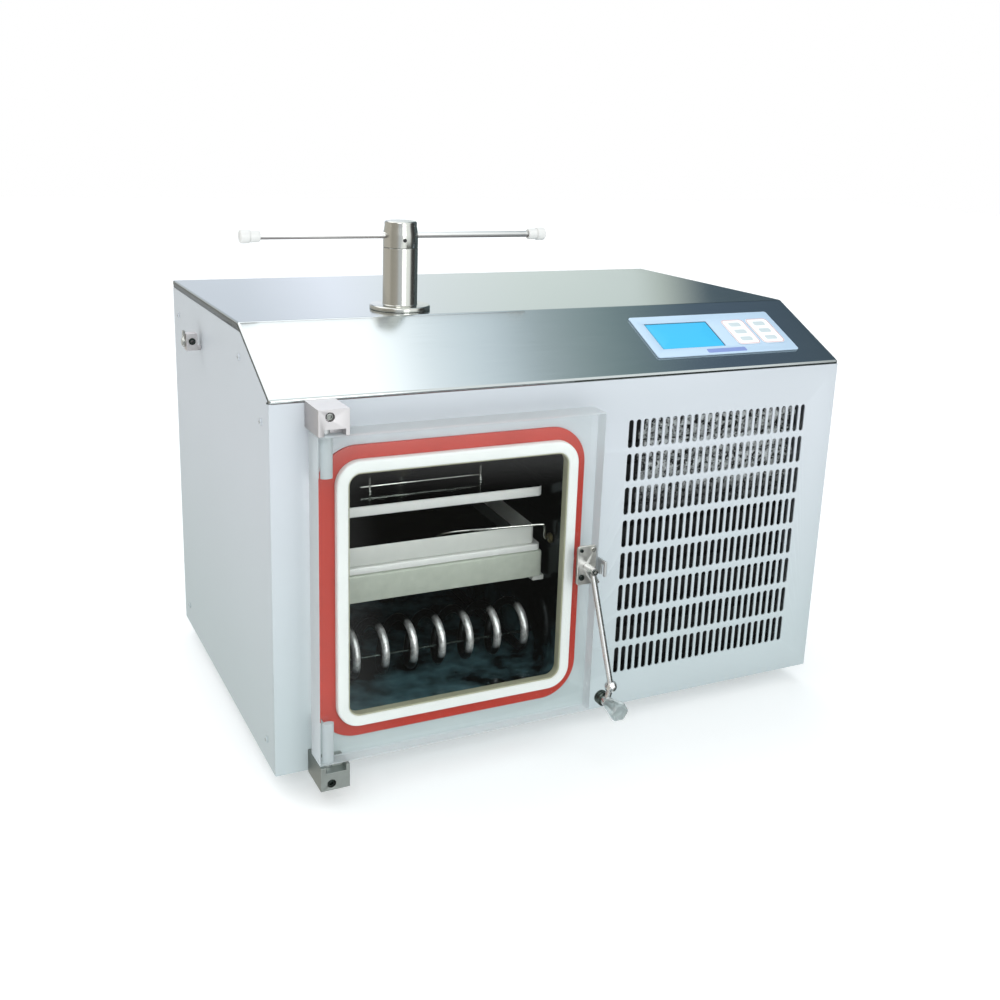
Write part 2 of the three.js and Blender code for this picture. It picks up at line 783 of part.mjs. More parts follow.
function pressPlate() {
  const middle = shelfFront + 2 + plateDepth / 2;
  const shape = roundRect(chamberCentre, middle, plateWidth, plateDepth, 6);
  const hole = new THREE.Path();
  hole.absarc(chamberCentre, pressDepth, screwRadius + 1, 0, Math.PI * 2, true);
  shape.holes.push(hole);
  return acrossZ(shape, plateLevel, plateLevel + plateThickness, 6);
}

const plateTop = plateLevel + plateThickness;

function pressNut() {
  const low = plateTop + gap;
  const bore = screwRadius + running;
  return turned([
    [bore, low], [nutRadius, low], [nutRadius, low + 5], [nutRadius - 7, low + 5],
    [nutRadius - 7, low + nutHeight], [bore, low + nutHeight],
  ]).translate(chamberCentre, pressDepth, 0);
}

// Two posts on the plate with a cross bar.
function pressHanger() {
  const low = plateTop + gap;
  const middle = chamberCentre - hangerShift;
  const [left, right] = [-1, 1].map((side) => middle + side * hangerSpread / 2);
  const posts = [left, right].map(
    (x) => pin(x, hangerDepth, 2, low, low + hangerHeight, 10));
  const bar = pinX(hangerDepth, low + hangerRise, 1.5,
    middle - hangerRod / 2, middle + hangerRod / 2, 8);
  return shaped(bar, { joined: posts });
}

function roofGland() {
  const low = chamberTop + chamberWall + gap;
  const bore = screwRadius + running;
  return turned([
    [bore, low], [26, low], [26, low + 5], [16, low + 5], [16, low + 14], [bore, low + 14],
  ]).translate(chamberCentre, pressDepth, 0);
}

function press() {
  piece('press_column', pressColumn(), 'stainless');
  piece('press_head', pressHead(), 'stainless');
  piece('press_bar', pressBar(), 'stainless');
  piece('bar_cap_left', barCap(-1), 'whitePlastic');
  piece('bar_cap_right', barCap(1), 'whitePlastic');
  piece('press_screw', pressScrew(), 'stainless');
  piece('roof_gland', roofGland(), 'bronze');
  piece('press_plate', pressPlate(), 'stainless');
  piece('press_nut', pressNut(), 'bronze');
  piece('press_hanger', pressHanger(), 'stainless');
}

// Door, hinges and latch -----------------------------------------------------------

const doorTop = doorBottom + doorHeight;

function hingeBlockLow(upper) {
  return upper ? doorTop + gap : doorBottom - gap - blockHeight;
}

// Middle height of each hinge block's screw, top block first: away from the pin.
function hingeScrewHeights() {
  const inset = (blockHeight - pinInBlock) / 2;
  return [hingeBlockLow(true) + blockHeight - inset, hingeBlockLow(false) + inset];
}

function doorPlate() {
  const size = [doorWidth - 2 * doorBevel, doorHeight - 2 * doorBevel];
  const middle = [doorLeft + doorWidth / 2, doorBottom + doorHeight / 2];
  const slab = new THREE.ExtrudeGeometry(roundRect(...middle, ...size, 2), {
    depth: doorThickness - 2 * doorBevel, bevelThickness: doorBevel, bevelSize: doorBevel,
    bevelSegments: 1, curveSegments: 2,
  });
  slab.applyMatrix4(standing).translate(0, -doorStand - doorBevel, 0);
  const bore = pinRadius + running;
  const holes = [[doorTop - pinInDoor - gap, doorTop + 1],
    [doorBottom - 1, doorBottom + pinInDoor + gap]];
  return shaped(slab, { cut: holes.map(([z0, z1]) => pin(pivotX, pivotY, bore, z0, z1)) });
}

// A steel block with a blind hole for the pin, a notch in front of the pin and a
// counterbored screw.
function hingeBlock(upper) {
  const low = hingeBlockLow(upper);
  const block = box(doorLeft, doorLeft + blockWidth, -blockDepth, -gap, low, low + blockHeight);
  const [z0, z1] = upper
    ? [low - 1, low + pinInBlock] : [low + blockHeight - pinInBlock, low + blockHeight + 1];
  const bore = pin(pivotX, pivotY, pinRadius + gap, z0, z1);
  const [n0, n1] = upper
    ? [low - 1, low + notchHeight]
    : [low + blockHeight - notchHeight, low + blockHeight + 1];
  const notch = box(doorLeft + 6, doorLeft + 6 + notchWidth, -blockDepth - 1,
    pivotY - pinRadius + 1, n0, n1);
  const level = hingeScrewHeights()[upper ? 0 : 1];
  const shank = pinY(pivotX, level, hingeScrewRadius + gap, -blockDepth - 1, 1, 12);
  const seat = pinY(pivotX, level, hingeScrewHead + gap, -blockDepth - 1, -blockDepth + 6, 16);
  return shaped(block, { cut: [bore, notch, shank, seat] });
}

function hingePin(upper) {
  const [z0, z1] = upper
    ? [doorTop - pinInDoor, hingeBlockLow(true) + pinInBlock - gap]
    : [hingeBlockLow(false) + blockHeight - pinInBlock + gap, doorBottom + pinInDoor];
  return pin(pivotX, pivotY, pinRadius, z0, z1);
}

function hingeScrew(upper) {
  const level = hingeScrewHeights()[upper ? 0 : 1];
  const back = -blockDepth + 6 - gap;
  const head = pinY(pivotX, level, hingeScrewHead, -blockDepth + 1, back, 16);
  const shank = pinY(pivotX, level, hingeScrewRadius, back - 1, sheet + 4, 12);
  const socket = pinY(pivotX, level, 2.2, -blockDepth, -blockDepth + 3.5, 6);
  return shaped(head, { joined: [shank], cut: [socket] });
}

const latchBack = doorFace - gap;
const camBack = latchBack - latchBaseThickness - gap;
const camFront = camBack - camLength;

function latchBase() {
  const shape = roundRect(latchX, latchLevel + 2, latchBaseWidth, latchBaseHeight, 4);
  const plate = acrossY(shape, latchBack - latchBaseThickness, latchBack, 3);
  const stud = pinY(latchX, latchLevel, studRadius, camFront - 1, latchBack - 1, 16);
  return shaped(plate, { joined: [stud] });
}

// Hub and finger; the finger turns up behind the keeper's lip to latch.
function latchCam() {
  const hub = pinY(0, 0, camRadius, camFront, camBack, 24);
  const finger = box(camRadius / 2, camReach, camBack - camThickness, camBack,
    -camWidth / 2, camWidth / 2).rotateY(-camRest * degrees);
  const bore = pinY(0, 0, studRadius + running, camFront - 1, camBack + 1, 16);
  return shaped(hub, { joined: [finger], cut: [bore] }).translate(latchX, 0, latchLevel);
}

const lean = leverLean * degrees;
const ballX = latchX + leverLength * Math.sin(lean);
const ballZ = latchLevel - leverLength * Math.cos(lean);
const crankX = ballX - eyeBack;
const crankZ = ballZ - eyeDrop;

function latchLever() {
  const from = camRadius + gap;
  const start = [latchX + from * Math.sin(lean), crankY, latchLevel - from * Math.cos(lean)];
  const end = [ballX, crankY, ballZ];
  const bar = rod(start, end, leverRadius);
  const ball = new THREE.SphereGeometry(leverBall, 14, 10).translate(...end);
  const neck = rod(end, [crankX, crankY, crankZ], leverRadius + 0.4);
  const half = eyeLength / 2;
  const eye = pinY(crankX, crankZ, eyeRadius, crankY - half, crankY + half, 16);
  const bore = pinY(crankX, crankZ, crankPin + gap, crankY - eyeLength, crankY + eyeLength, 16);
  return shaped(bar, { joined: [ball, neck, eye], cut: [bore] });
}

// The knob's pin with its collar behind the lever.
function crankPinPiece() {
  const face = crankY + eyeLength / 2 + gap;
  const collar = pinY(crankX, crankZ, collarRadius, face, face + collarLength, 20);
  const shank = pinY(crankX, crankZ, crankPin, crankY - knobLength + 2, face + 1, 12);
  return shaped(collar, { joined: [shank] });
}

function latchKnob() {
  const bore = crankPin + running;
  const near = eyeLength / 2 + gap;
  const far = near + knobLength;
  const knob = turned([
    [bore, near], [knobNeck, near], [knobNeck + 0.5, near + 5], [knobRadius - 1.5, near + 14],
    [knobRadius, near + 20], [knobRadius, far - 3], [knobRadius - 2.5, far], [0, far],
    [0, knobLength - 1], [bore, knobLength - 1],
  ], 20);
  return knob.rotateX(Math.PI / 2).translate(crankX, crankY, crankZ);
}

// A bracket on the front panel, beside the door's edge. Its hook is open below, where
// the cam's finger comes up behind it.
function latchKeeper() {
  const left = doorLeft + doorWidth + keeperSpace;
  const right = left + keeperWidth;
  const middle = latchLevel - keeperDrop;
  const [low, high] = [middle - keeperHeight / 2, middle + keeperHeight / 2];
  const lipBack = camBack - camThickness - 1;
  const blade = box(left, right, lipBack - keeperLip, -gap, low, high);
  const mouth = box(left - 1, right + 1, lipBack, camBack + 0.6, low - 1, high - keeperWeb);
  const footing = box(right - 1, right + 14, -gap - 3, -gap, low, high);
  return shaped(blade, { joined: [footing], cut: [mouth] });
}

function door() {
  piece('door_plate', doorPlate(), 'acrylic');
  for (const [name, upper] of [['top', true], ['bottom', false]]) {
    piece(`hinge_block_${name}`, hingeBlock(upper), 'stainless');
    piece(`hinge_pin_${name}`, hingePin(upper), 'stainless');
    piece(`hinge_screw_${name}`, hingeScrew(upper), 'darkSteel');
  }
  piece('latch_base', latchBase(), 'stainless');
  piece('latch_cam', latchCam(), 'stainless');
  piece('latch_lever', latchLever(), 'stainless');
  piece('crank_pin', crankPinPiece(), 'darkSteel');
  piece('latch_knob', latchKnob(), 'acrylic');
  piece('latch_keeper', latchKeeper(), 'stainless');
}

// Console ------------------------------------------------------------------------

// The console lies on the slope: its Y runs up the slope and its Z stands off it.
function consolePanel() {
  const face = new THREE.Group();
  face.position.set(panelLeft, 0, frontHeight);
  face.rotation.x = slope;
  dryer.add(face);
  const slab = roundRect(panelWidth / 2, panelRise + panelHeight / 2,
    panelWidth, panelHeight, 3);
  const window = roundRect(displayLeft + displayWidth / 2,
    panelRise + displayRise + displayHeight / 2,
    displayWidth + 2 * gap, displayHeight + 2 * gap, 1);
  slab.holes.push(new THREE.Path(window.getPoints(2)));
  piece('control_panel', acrossZ(slab, gap, gap + panelThickness, 2), 'panelFilm', face);
  piece('display', box(displayLeft, displayLeft + displayWidth, panelRise + displayRise,
    panelRise + displayRise + displayHeight, -displayDepth, gap + panelThickness / 2),
  'screen', face);
  const low = panelThickness + 2 * gap;
  ['keypad_left', 'keypad_right'].forEach((name, i) => {
    const shape = roundRect(keypadLeft + keypadWidth / 2 + i * (keypadWidth + keypadSpace),
      panelRise + keypadRise + keypadHeight / 2, keypadWidth, keypadHeight, 5);
    piece(name, acrossZ(shape, low, low + keypadThickness, 3), 'whitePlastic', face);
  });
}

// Refrigeration ------------------------------------------------------------------

const coreLeft = grilleLeft - coreMargin;
const coreRight = grilleLeft + (slotColumns - 1) * slotPitch + coreMargin;
const coreLow = sheet + gap;
const coreHigh = grilleBottom + (slotRows - 1) * rowPitch + slotLength + coreMargin;
const coreBack = coreStand + coreDepth;
const fanX = (coreLeft + coreRight) / 2;
const fanZ = (coreLow + coreHigh) / 2;
const shroudBack = coreBack + gap + shroudSheet;

// A finned cooler: level fins front and back of a solid middle.
function coolerCore() {
  const pitch = (coreHigh - coreLow) / coreFins;
  const fin = pitch * 0.4;
  const [front, back, deep] = [coreStand, coreBack, 12];
  const points = [];
  for (let i = 0; i < coreFins; i += 1) {
    const z = coreLow + i * pitch;
    points.push([back, z], [back, z + fin], [back - deep, z + fin], [back - deep, z + pitch]);
  }
  for (let i = coreFins - 1; i >= 0; i -= 1) {
    const z = coreLow + i * pitch;
    points.push([front + deep, z + pitch], [front + deep, z + fin], [front, z + fin], [front, z]);
  }
  return acrossX(outline(points), coreLeft, coreRight);
}

function fanShroud() {
  const reach = fanRadius + fanTip;
  const plate = outline([
    [coreLeft, coreLow], [coreRight, coreLow], [coreRight, coreHigh], [coreLeft, coreHigh]]);
  const sheetPart = acrossY(plate, coreBack + gap, shroudBack);
  const collar = pinY(fanX, fanZ, reach + shroudSheet, shroudBack - 1,
    shroudBack + shroudRing, 40);
  const hole = pinY(fanX, fanZ, reach, coreBack - 1, shroudBack + shroudRing + 1, 40);
  return shaped(sheetPart, { joined: [collar], cut: [hole] });
}

const fanBack = shroudBack + fanDepth;
const motorFront = fanBack + 3;

// The motor and its four arms, which stand on the shroud outside the ring.
function fanMotor() {
  const can = pinY(fanX, fanZ, motorRadius, motorFront, motorFront + motorLength, 28);
  const shaft = pinY(fanX, fanZ, 4, fanBack - 14, motorFront + 1, 12);
  const reach = fanRadius + fanTip + shroudSheet + 2;
  const armFront = shroudBack + shroudRing + 4;
  const parts = [shaft];
  for (const angle of [45, 135, 225, 315]) {
    const arm = box(motorRadius - 4, reach + motorArm, armFront, armFront + 5,
      -motorArm / 2, motorArm / 2);
    const leg = box(reach, reach + motorArm, shroudBack + gap, armFront + 1,
      -motorArm / 2, motorArm / 2);
    for (const bar of [arm, leg]) {
      parts.push(bar.rotateY(angle * degrees).translate(fanX, 0, fanZ));
    }
  }
  return shaped(can, { joined: parts });
}

function fanRotor() {
  const hub = pinY(0, 0, fanHub, shroudBack + 2, fanBack, 24);
  const blades = [];
  for (let i = 0; i < fanBlades; i += 1) {
    const blade = box(fanHub - 4, fanRadius - 6, -1.25, 1.25, -22, 22);
    blade.rotateX(32 * degrees).translate(0, (shroudBack + fanBack) / 2 + 1, 0);
    blades.push(blade.rotateY(i * 360 / fanBlades * degrees));
  }
  const bore = pinY(0, 0, 4 + running, fanBack - 14 - gap, fanBack + 1, 12);
  const rotor = shaped(hub, { joined: blades, cut: [bore] });
  return rotor.translate(fanX, 0, fanZ);
}

function compressor() {
  const low = sheet + gap;
  const can = turned([
    [0, low + compressorFoot - 1], [compressorRadius - 14, low + compressorFoot - 1],
    [compressorRadius, low + compressorFoot + 14], [compressorRadius, compressorHeight - 40],
    [compressorRadius - 10, compressorHeight - 16], [compressorRadius - 34, compressorHeight],
    [0, compressorHeight],
  ], 28);
  const half = compressorRadius;
  const plate = box(-half, half, -half, half, low, low + compressorFoot);
  const body = shaped(can, { joined: [plate] });
  const y = casingDepth - sheet - compressorBack - compressorRadius;
  return body.translate(fanX, y, 0);
}

function refrigeration() {
  piece('cooler_core', coolerCore(), 'aluminium');
  piece('fan_shroud', fanShroud(), 'blackPlastic');
  piece('fan_motor', fanMotor(), 'blackEnamel');
  piece('fan_rotor', fanRotor(), 'blackPlastic');
  piece('compressor', compressor(), 'blackEnamel');
}

// Services -----------------------------------------------------------------------

function vacuumPort() {
  const start = chamberDepth + chamberWall + gap;
  const end = casingDepth + portStand;
  const profile = [
    [portBore, start], [portRadius, start], [portRadius, end - 6], [portFlange, end - 4],
    [portFlange, end], [portBore, end],
  ];
  return turned(profile).rotateX(-Math.PI / 2).translate(chamberCentre, 0, portLevel);
}

function powerInlet() {
  const [left, right] = [inletLeft, inletLeft + inletWidth];
  const [low, high] = [inletLevel, inletLevel + inletHeight];
  const body = box(left, right, casingDepth - inletDepth, casingDepth + gap + 1, low, high);
  const rim = box(left - inletRim, right + inletRim, casingDepth + gap, casingDepth + gap + 3,
    low - inletRim, high + inletRim);
  const well = box(left + 11, right - 11, casingDepth - 14, casingDepth + 5, low + 5, high - 5);
  return shaped(rim, { joined: [body], cut: [well] });
}

// The air valve stands out of the left side, with its mouth to the front.
function airValve() {
  const back = -valvePipe;
  const level = valveLevel + valveRise;
  const body = box(back - valveLength, back, valveDepth - valveWidth / 2,
    valveDepth + valveWidth / 2, level - valveHeight / 2, level + valveHeight / 2);
  const pipe = pinX(valveDepth, valveLevel, valvePipeRadius, back - 1, -gap, 16);
  const mouth = pinY(back - valveLength / 2, valveLevel + valveMouth, valveBore,
    valveDepth - valveWidth / 2 - 1, valveDepth, 12);
  return shaped(body, { joined: [pipe], cut: [mouth] });
}

function valveLeverPiece() {
  const right = -valvePipe - valveLength - gap;
  const level = valveLevel + valveRise;
  const bar = box(right - 3, right, valveDepth - 3, valveDepth + 3,
    level - valveLever * 0.3, level + valveLever * 0.7);
  const boss = pinX(valveDepth, level, 4.5, right - 4, right, 16);
  return shaped(bar, { joined: [boss] });
}

function services() {
  piece('vacuum_port', vacuumPort(), 'stainless');
  piece('power_inlet', powerInlet(), 'blackPlastic');
  piece('air_valve', airValve(), 'stainless');
  piece('valve_lever', valveLeverPiece(), 'stainless');
}

casing();
chamber();
chamberFittings();
press();
door();
consolePanel();
refrigeration();
services();

// The origin is the middle of the whole, on the ground.
dryer.updateMatrixWorld(true);
const bounds = new THREE.Box3().setFromObject(dryer, true);
const middle = bounds.getCenter(new THREE.Vector3());
dryer.position.set(-middle.x, -middle.y, -bounds.min.z);

export default dryer;
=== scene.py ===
"""Finishes the freeze dryer round its fixed frame: casing, chamber, shelf, coil, press,
door, latch, console and services, with their materials, a floor, lamps and a camera."""

import math

import bmesh
import bpy
import numpy as np
from bpy.props import FloatProperty, FloatVectorProperty, IntProperty, PointerProperty
from bpy.types import Operator, Panel, PropertyGroup
from mathutils import Matrix, Vector


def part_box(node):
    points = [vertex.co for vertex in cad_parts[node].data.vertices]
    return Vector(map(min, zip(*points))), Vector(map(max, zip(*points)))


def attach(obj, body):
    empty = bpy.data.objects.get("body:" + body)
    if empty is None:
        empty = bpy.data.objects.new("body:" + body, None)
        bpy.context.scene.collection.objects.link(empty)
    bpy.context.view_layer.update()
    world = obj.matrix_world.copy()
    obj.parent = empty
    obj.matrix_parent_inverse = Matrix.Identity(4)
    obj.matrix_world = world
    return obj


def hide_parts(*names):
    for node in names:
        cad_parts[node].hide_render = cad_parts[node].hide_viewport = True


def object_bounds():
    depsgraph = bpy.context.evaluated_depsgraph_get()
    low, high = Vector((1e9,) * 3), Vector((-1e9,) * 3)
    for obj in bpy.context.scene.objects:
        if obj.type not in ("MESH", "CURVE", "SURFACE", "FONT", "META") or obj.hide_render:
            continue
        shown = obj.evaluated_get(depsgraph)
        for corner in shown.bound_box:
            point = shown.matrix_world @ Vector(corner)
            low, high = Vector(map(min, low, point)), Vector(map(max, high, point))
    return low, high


bl_info = {"name": "Freeze dryer", "version": (1, 0, 0), "blender": (4, 5, 0),
    "location": "View3D > Sidebar > Freeze dryer",
    "description": "Builds a bench-top freeze dryer round its fixed frame", "category": "Add Mesh"}

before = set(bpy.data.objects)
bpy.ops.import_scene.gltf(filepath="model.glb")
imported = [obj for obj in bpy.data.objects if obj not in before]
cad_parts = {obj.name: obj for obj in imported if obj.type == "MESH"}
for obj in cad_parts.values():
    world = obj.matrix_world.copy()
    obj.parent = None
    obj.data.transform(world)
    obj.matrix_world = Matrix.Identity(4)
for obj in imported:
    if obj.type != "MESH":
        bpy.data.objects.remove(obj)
CAD_BOX = [list(corner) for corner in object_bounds()]
MM = 0.001
CORNER = np.array(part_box("front_panel")[0])  # the casing's front left bottom corner

RIGHT = np.array([1.0, 0.0, 0.0])
BACK = np.array([0.0, 1.0, 0.0])
UP = np.array([0.0, 0.0, 1.0])

SLOPE_RUN = 119.0  # level depth of the sloping console
FRONT_HEIGHT = 413.0  # height of the front face below it


def span(node):
    """Lowest and highest corner of a frame node, in millimetres from the casing's corner."""
    low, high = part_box(node)
    return (np.array(low) - CORNER) / MM, (np.array(high) - CORNER) / MM


def centre(node):
    """Middle of a frame node's box, in millimetres from the casing's corner."""
    low, high = span(node)
    return (low + high) / 2


# Shapes. Each is (points in millimetres, faces). -----------------------------------


def unit(vectors):
    """Vectors divided by their lengths."""
    length = np.linalg.norm(vectors, axis=-1, keepdims=True)
    return vectors / np.maximum(length, 1e-9)


def skin(loops, ring=False):
    """Quads between each loop of points and the next; every loop is closed. A ring's last
    loop meets its first, and otherwise each end is shut by one face."""
    count, width = loops.shape[:2]
    index = np.arange(count * width).reshape(count, width)
    near = index if ring else index[:-1]
    far = np.roll(index, -1, 0) if ring else index[1:]
    quads = np.stack([near, np.roll(near, -1, 1), np.roll(far, -1, 1), far], -1)
    faces = quads.reshape(-1, 4).tolist()
    if not ring:
        faces += [index[0][::-1].tolist(), index[-1].tolist()]
    return loops.reshape(-1, 3), faces


def together(*shapes):
    """Several shapes as one, each face counted on from the points before it."""
    starts = np.cumsum([0] + [len(points) for points, _ in shapes])
    points = np.concatenate([points for points, _ in shapes])
    faces = [[corner + int(start) for corner in face] for start, (_, made) in zip(starts,
        shapes) for face in made]
    return points, faces


def placed(shape, origin, right=RIGHT, up=BACK):
    """A shape with its X laid along right, its Y along up and its Z along their cross
    product, moved to the origin given."""
    points, faces = shape
    axes = np.array([right, up, np.cross(right, up)], float)
    return points @ axes + np.asarray(origin, float), faces


def rounded_line(points, radii, steps=4, closed=False):
    """A flat line with round corners: each corner gives way to an arc that touches both
    its sides, at radius / tan(half the angle) from the corner, and the arc's points come
    by turning evenly from one touching point to the other about the arc's centre."""
    points = np.asarray(points, float)
    radii = np.broadcast_to(np.asarray(radii, float), len(points)).copy()
    back = np.roll(points, 1, 0) - points
    forth = np.roll(points, -1, 0) - points
    if not closed:
        radii[0] = radii[-1] = 0
    reach = np.minimum(np.linalg.norm(back, axis=1), np.linalg.norm(forth, axis=1)) * 0.49
    back, forth = unit(back), unit(forth)
    cosine = np.clip((back * forth).sum(1), -0.999999, 0.999999)
    half = np.arccos(cosine) / 2
    distance = np.minimum(radii / np.tan(half), reach)
    radii = distance * np.tan(half)
    middle = points + unit(back + forth) * (radii / np.sin(half))[:, None]
    start = points + back * distance[:, None] - middle
    end = points + forth * distance[:, None] - middle
    turn = (math.pi - 2 * half)[:, None]
    share = np.linspace(0, 1, steps + 1)[None]
    weights = [np.sin((1 - share) * turn), np.sin(share * turn)] / np.sin(turn)
    arcs = middle[:, None] + weights[0][..., None] * start[:, None]
    arcs = arcs + weights[1][..., None] * end[:, None]
    return arcs.reshape(-1, 2)


def turned(profile, radii=0.0, steps=48, bored=False, ease=4):
    """A profile of [radius, height] with rounded corners, carried round the Z axis."""
    radius, height = rounded_line(profile, radii, ease, closed=bored).T
    angle = np.linspace(0, 2 * math.pi, steps, endpoint=False)
    loops = np.stack([radius[:, None] * np.cos(angle), radius[:, None] * np.sin(angle),
        np.broadcast_to(height[:, None], (len(height), steps))], -1)
    return skin(loops, ring=bored)


def swept(path, radius, sides=16, across=(0.13, 0.21, 0.97)):
    """A round section carried along a path. Its first direction is square to the path and
    to the vector across, and its second is square to the path and to the first."""
    path = np.asarray(path, float)
    along = unit(np.gradient(path, axis=0))
    first = unit(np.cross(along, np.asarray(across, float)))
    second = np.cross(along, first)
    angle = np.linspace(0, 2 * math.pi, sides, endpoint=False)
    size = np.broadcast_to(np.asarray(radius, float), len(path))[:, None, None]
    ring = np.cos(angle)[:, None] * first[:, None] + np.sin(angle)[:, None] * second[:, None]
    return skin(path[:, None] + size * ring)


def rod(start, end, radius, ease=0.6, sides=20):
    """A straight round bar with eased ends."""
    start, end = np.asarray(start, float), np.asarray(end, float)
    length = np.linalg.norm(end - start)
    along = (end - start) / length
    side = unit(np.cross(along, [0.31, 0.87, 0.38]))
    bar = turned([[0, 0], [radius, 0], [radius, length], [0, length]], ease, sides, ease=2)
    return placed(bar, start, side, np.cross(along, side))


def through(points, per_span=12):
    """A smooth line through points: on each span, the cubic whose slope at a point is half
    the step between that point's neighbours."""
    points = np.asarray(points, float)
    slopes = np.gradient(points, axis=0)
    share = np.linspace(0, 1, per_span, endpoint=False)[None, :, None]
    low, high = points[:-1, None], points[1:, None]
    leave, arrive = slopes[:-1, None], slopes[1:, None]
    line = (
        (2 * share**3 - 3 * share**2 + 1) * low
        + (share**3 - 2 * share**2 + share) * leave
        + (3 * share**2 - 2 * share**3) * high
        + (share**3 - share**2) * arrive
    )
    return np.concatenate([line.reshape(-1, 3), points[-1:]])


def rectangles(width, height, corner, steps=6):
    """Loops of round-cornered rectangles about the origin, one for each width, height and
    corner radius: a quarter circle at each corner, joined by the straight sides."""
    width, height, corner = np.broadcast_arrays(*[np.atleast_1d(np.asarray(v,
        float)) for v in (width, height, corner)])
    quarter = np.repeat(np.arange(4), steps + 1)
    angle = quarter * math.pi / 2 + np.tile(np.linspace(0, math.pi / 2, steps + 1), 4)
    side_x = np.array([1, -1, -1, 1])[quarter]
    side_y = np.array([1, 1, -1, -1])[quarter]
    x = side_x * (width / 2 - corner)[:, None] + corner[:, None] * np.cos(angle)
    y = side_y * (height / 2 - corner)[:, None] + corner[:, None] * np.sin(angle)
    return np.stack([x, y], -1)


def stacked(size, corner, profile, radii=0.0, steps=6, ease=4, ring=False):
    """A body of round-cornered rectangles laid one on another. Each point of the profile,
    [inset, level], draws the rectangle in and lifts it; the corners tighten by the inset."""
    inset, level = rounded_line(profile, radii, ease, closed=ring).T
    loops = rectangles(size[0] - 2 * inset, size[1] - 2 * inset, np.maximum(corner - inset, 0.05),
        steps)
    height = np.broadcast_to(level[:, None, None], loops.shape[:2] + (1,))
    return skin(np.concatenate([loops, height], -1), ring=ring)


def slab(size, corner, thickness, ease=0.5, steps=6):
    """A flat plate standing on its own XY plane, with eased edges."""
    half = min(size) / 2 * 0.96
    profile = [[half, 0], [0, 0], [0, thickness], [half, thickness]]
    return stacked(size, corner, profile, ease, steps)


def bored_slab(low, high, corner, hole, profile, bore, ease, through_hole=False):
    """A plate standing on the XY plane with a round hole. Points round its edge lie on
    rays from the hole, each hole point on the same ray, so that the faces between them
    fan out without crossing. An inset moves a point square to the plate's edge."""
    low, high, hole = (np.asarray(v, float) for v in (low, high, hole))
    edge = rectangles(*(high - low), corner, 8)[0] + (low + high) / 2
    bearing = np.arctan2(*(edge - hole).T[::-1])
    even = np.linspace(-math.pi, math.pi, 64, endpoint=False)
    rays = np.unique(np.round(np.concatenate([bearing, even]), 5))
    order = np.argsort(bearing)
    edge, bearing = edge[order], bearing[order]
    after = np.searchsorted(bearing, rays) % len(edge)
    start, end = edge[after - 1], edge[after]
    aim = np.stack([np.cos(rays), np.sin(rays)], -1)
    side = end - start
    cross = aim[:, 0] * side[:, 1] - aim[:, 1] * side[:, 0]
    offset = start - hole
    reach = (offset[:, 0] * side[:, 1] - offset[:, 1] * side[:, 0]) / cross
    rim = hole + aim * reach[:, None]
    outward = unit(rim - np.clip(rim, low + corner, high - corner))
    inset, level = rounded_line(profile, ease, 3).T
    body = rim - inset[:, None, None] * outward
    shaft = hole + np.asarray(bore, float)[:, :1, None] * aim

    def lifted(loops, heights):
        heights = np.broadcast_to(np.asarray(heights)[:, None, None], loops.shape[:2] + (1,))
        return np.concatenate([loops, heights], -1)

    shaft = lifted(shaft, np.asarray(bore, float)[:, 1])
    body = lifted(body, level)
    if through_hole:
        return skin(np.concatenate([body, shaft]), ring=True)
    half = len(shaft) // 2
    return skin(np.concatenate([shaft[:half], body, shaft[half:]]))


def slot_loop(x, z, width, length, steps=8):
    """A slot's outline: two half circles joined by straight sides."""
    half = width / 2
    angle = np.linspace(0, math.pi, steps + 1)
    arc = half * np.stack([np.cos(angle), np.sin(angle)], -1)
    top = arc + [x, z + length - half]
    bottom = -arc + [x, z + half]
    return np.concatenate([top, bottom])


def punched(loops, thickness, ease):
    """A flat sheet with holes, standing on its own XY plane. The loops fill a flat curve,
    which is thickened and whose edges are rounded by the curve's own bevel."""
    curve = bpy.data.curves.new("sheet", "CURVE")
    curve.dimensions = "2D"
    curve.fill_mode = "BOTH"
    curve.extrude = thickness / 2 - ease
    curve.bevel_depth = ease
    curve.bevel_resolution = 1
    curve.offset = -ease
    for loop in loops:
        spline = curve.splines.new("POLY")
        spline.points.add(len(loop) - 1)
        co = np.zeros((len(loop), 4))
        co[:, :2] = loop
        co[:, 3] = 1
        spline.points.foreach_set("co", co.ravel())
        spline.use_cyclic_u = True
    drawn = bpy.data.objects.new("sheet", curve)
    bpy.context.scene.collection.objects.link(drawn)
    graph = bpy.context.evaluated_depsgraph_get()
    mesh = bpy.data.meshes.new_from_object(drawn.evaluated_get(graph))
    points = np.empty(len(mesh.vertices) * 3)
    mesh.vertices.foreach_get("co", points)
    faces = [list(face.vertices) for face in mesh.polygons]
    bpy.data.objects.remove(drawn)
    bpy.data.curves.remove(curve)
    bpy.data.meshes.remove(mesh)
    return points.reshape(-1, 3) + [0, 0, thickness / 2], faces


# Pieces ---------------------------------------------------------------------------


def shaded(mesh, crease):
    """Smooth shading, broken at edges sharper than the crease angle."""
    mesh.polygons.foreach_set("use_smooth", np.ones(len(mesh.polygons), bool))
    mesh.set_sharp_from_angle(angle=math.radians(crease))


def enrol(obj, body, finish, stands_for):
    """Puts a made object in the scene, on its body, in place of its frame nodes."""
    bpy.context.scene.collection.objects.link(obj)
    obj.data.materials.clear()
    obj.data.materials.append(Finishes.get(finish))
    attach(obj, body)
    if stands_for:
        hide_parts(*stands_for)
    return obj


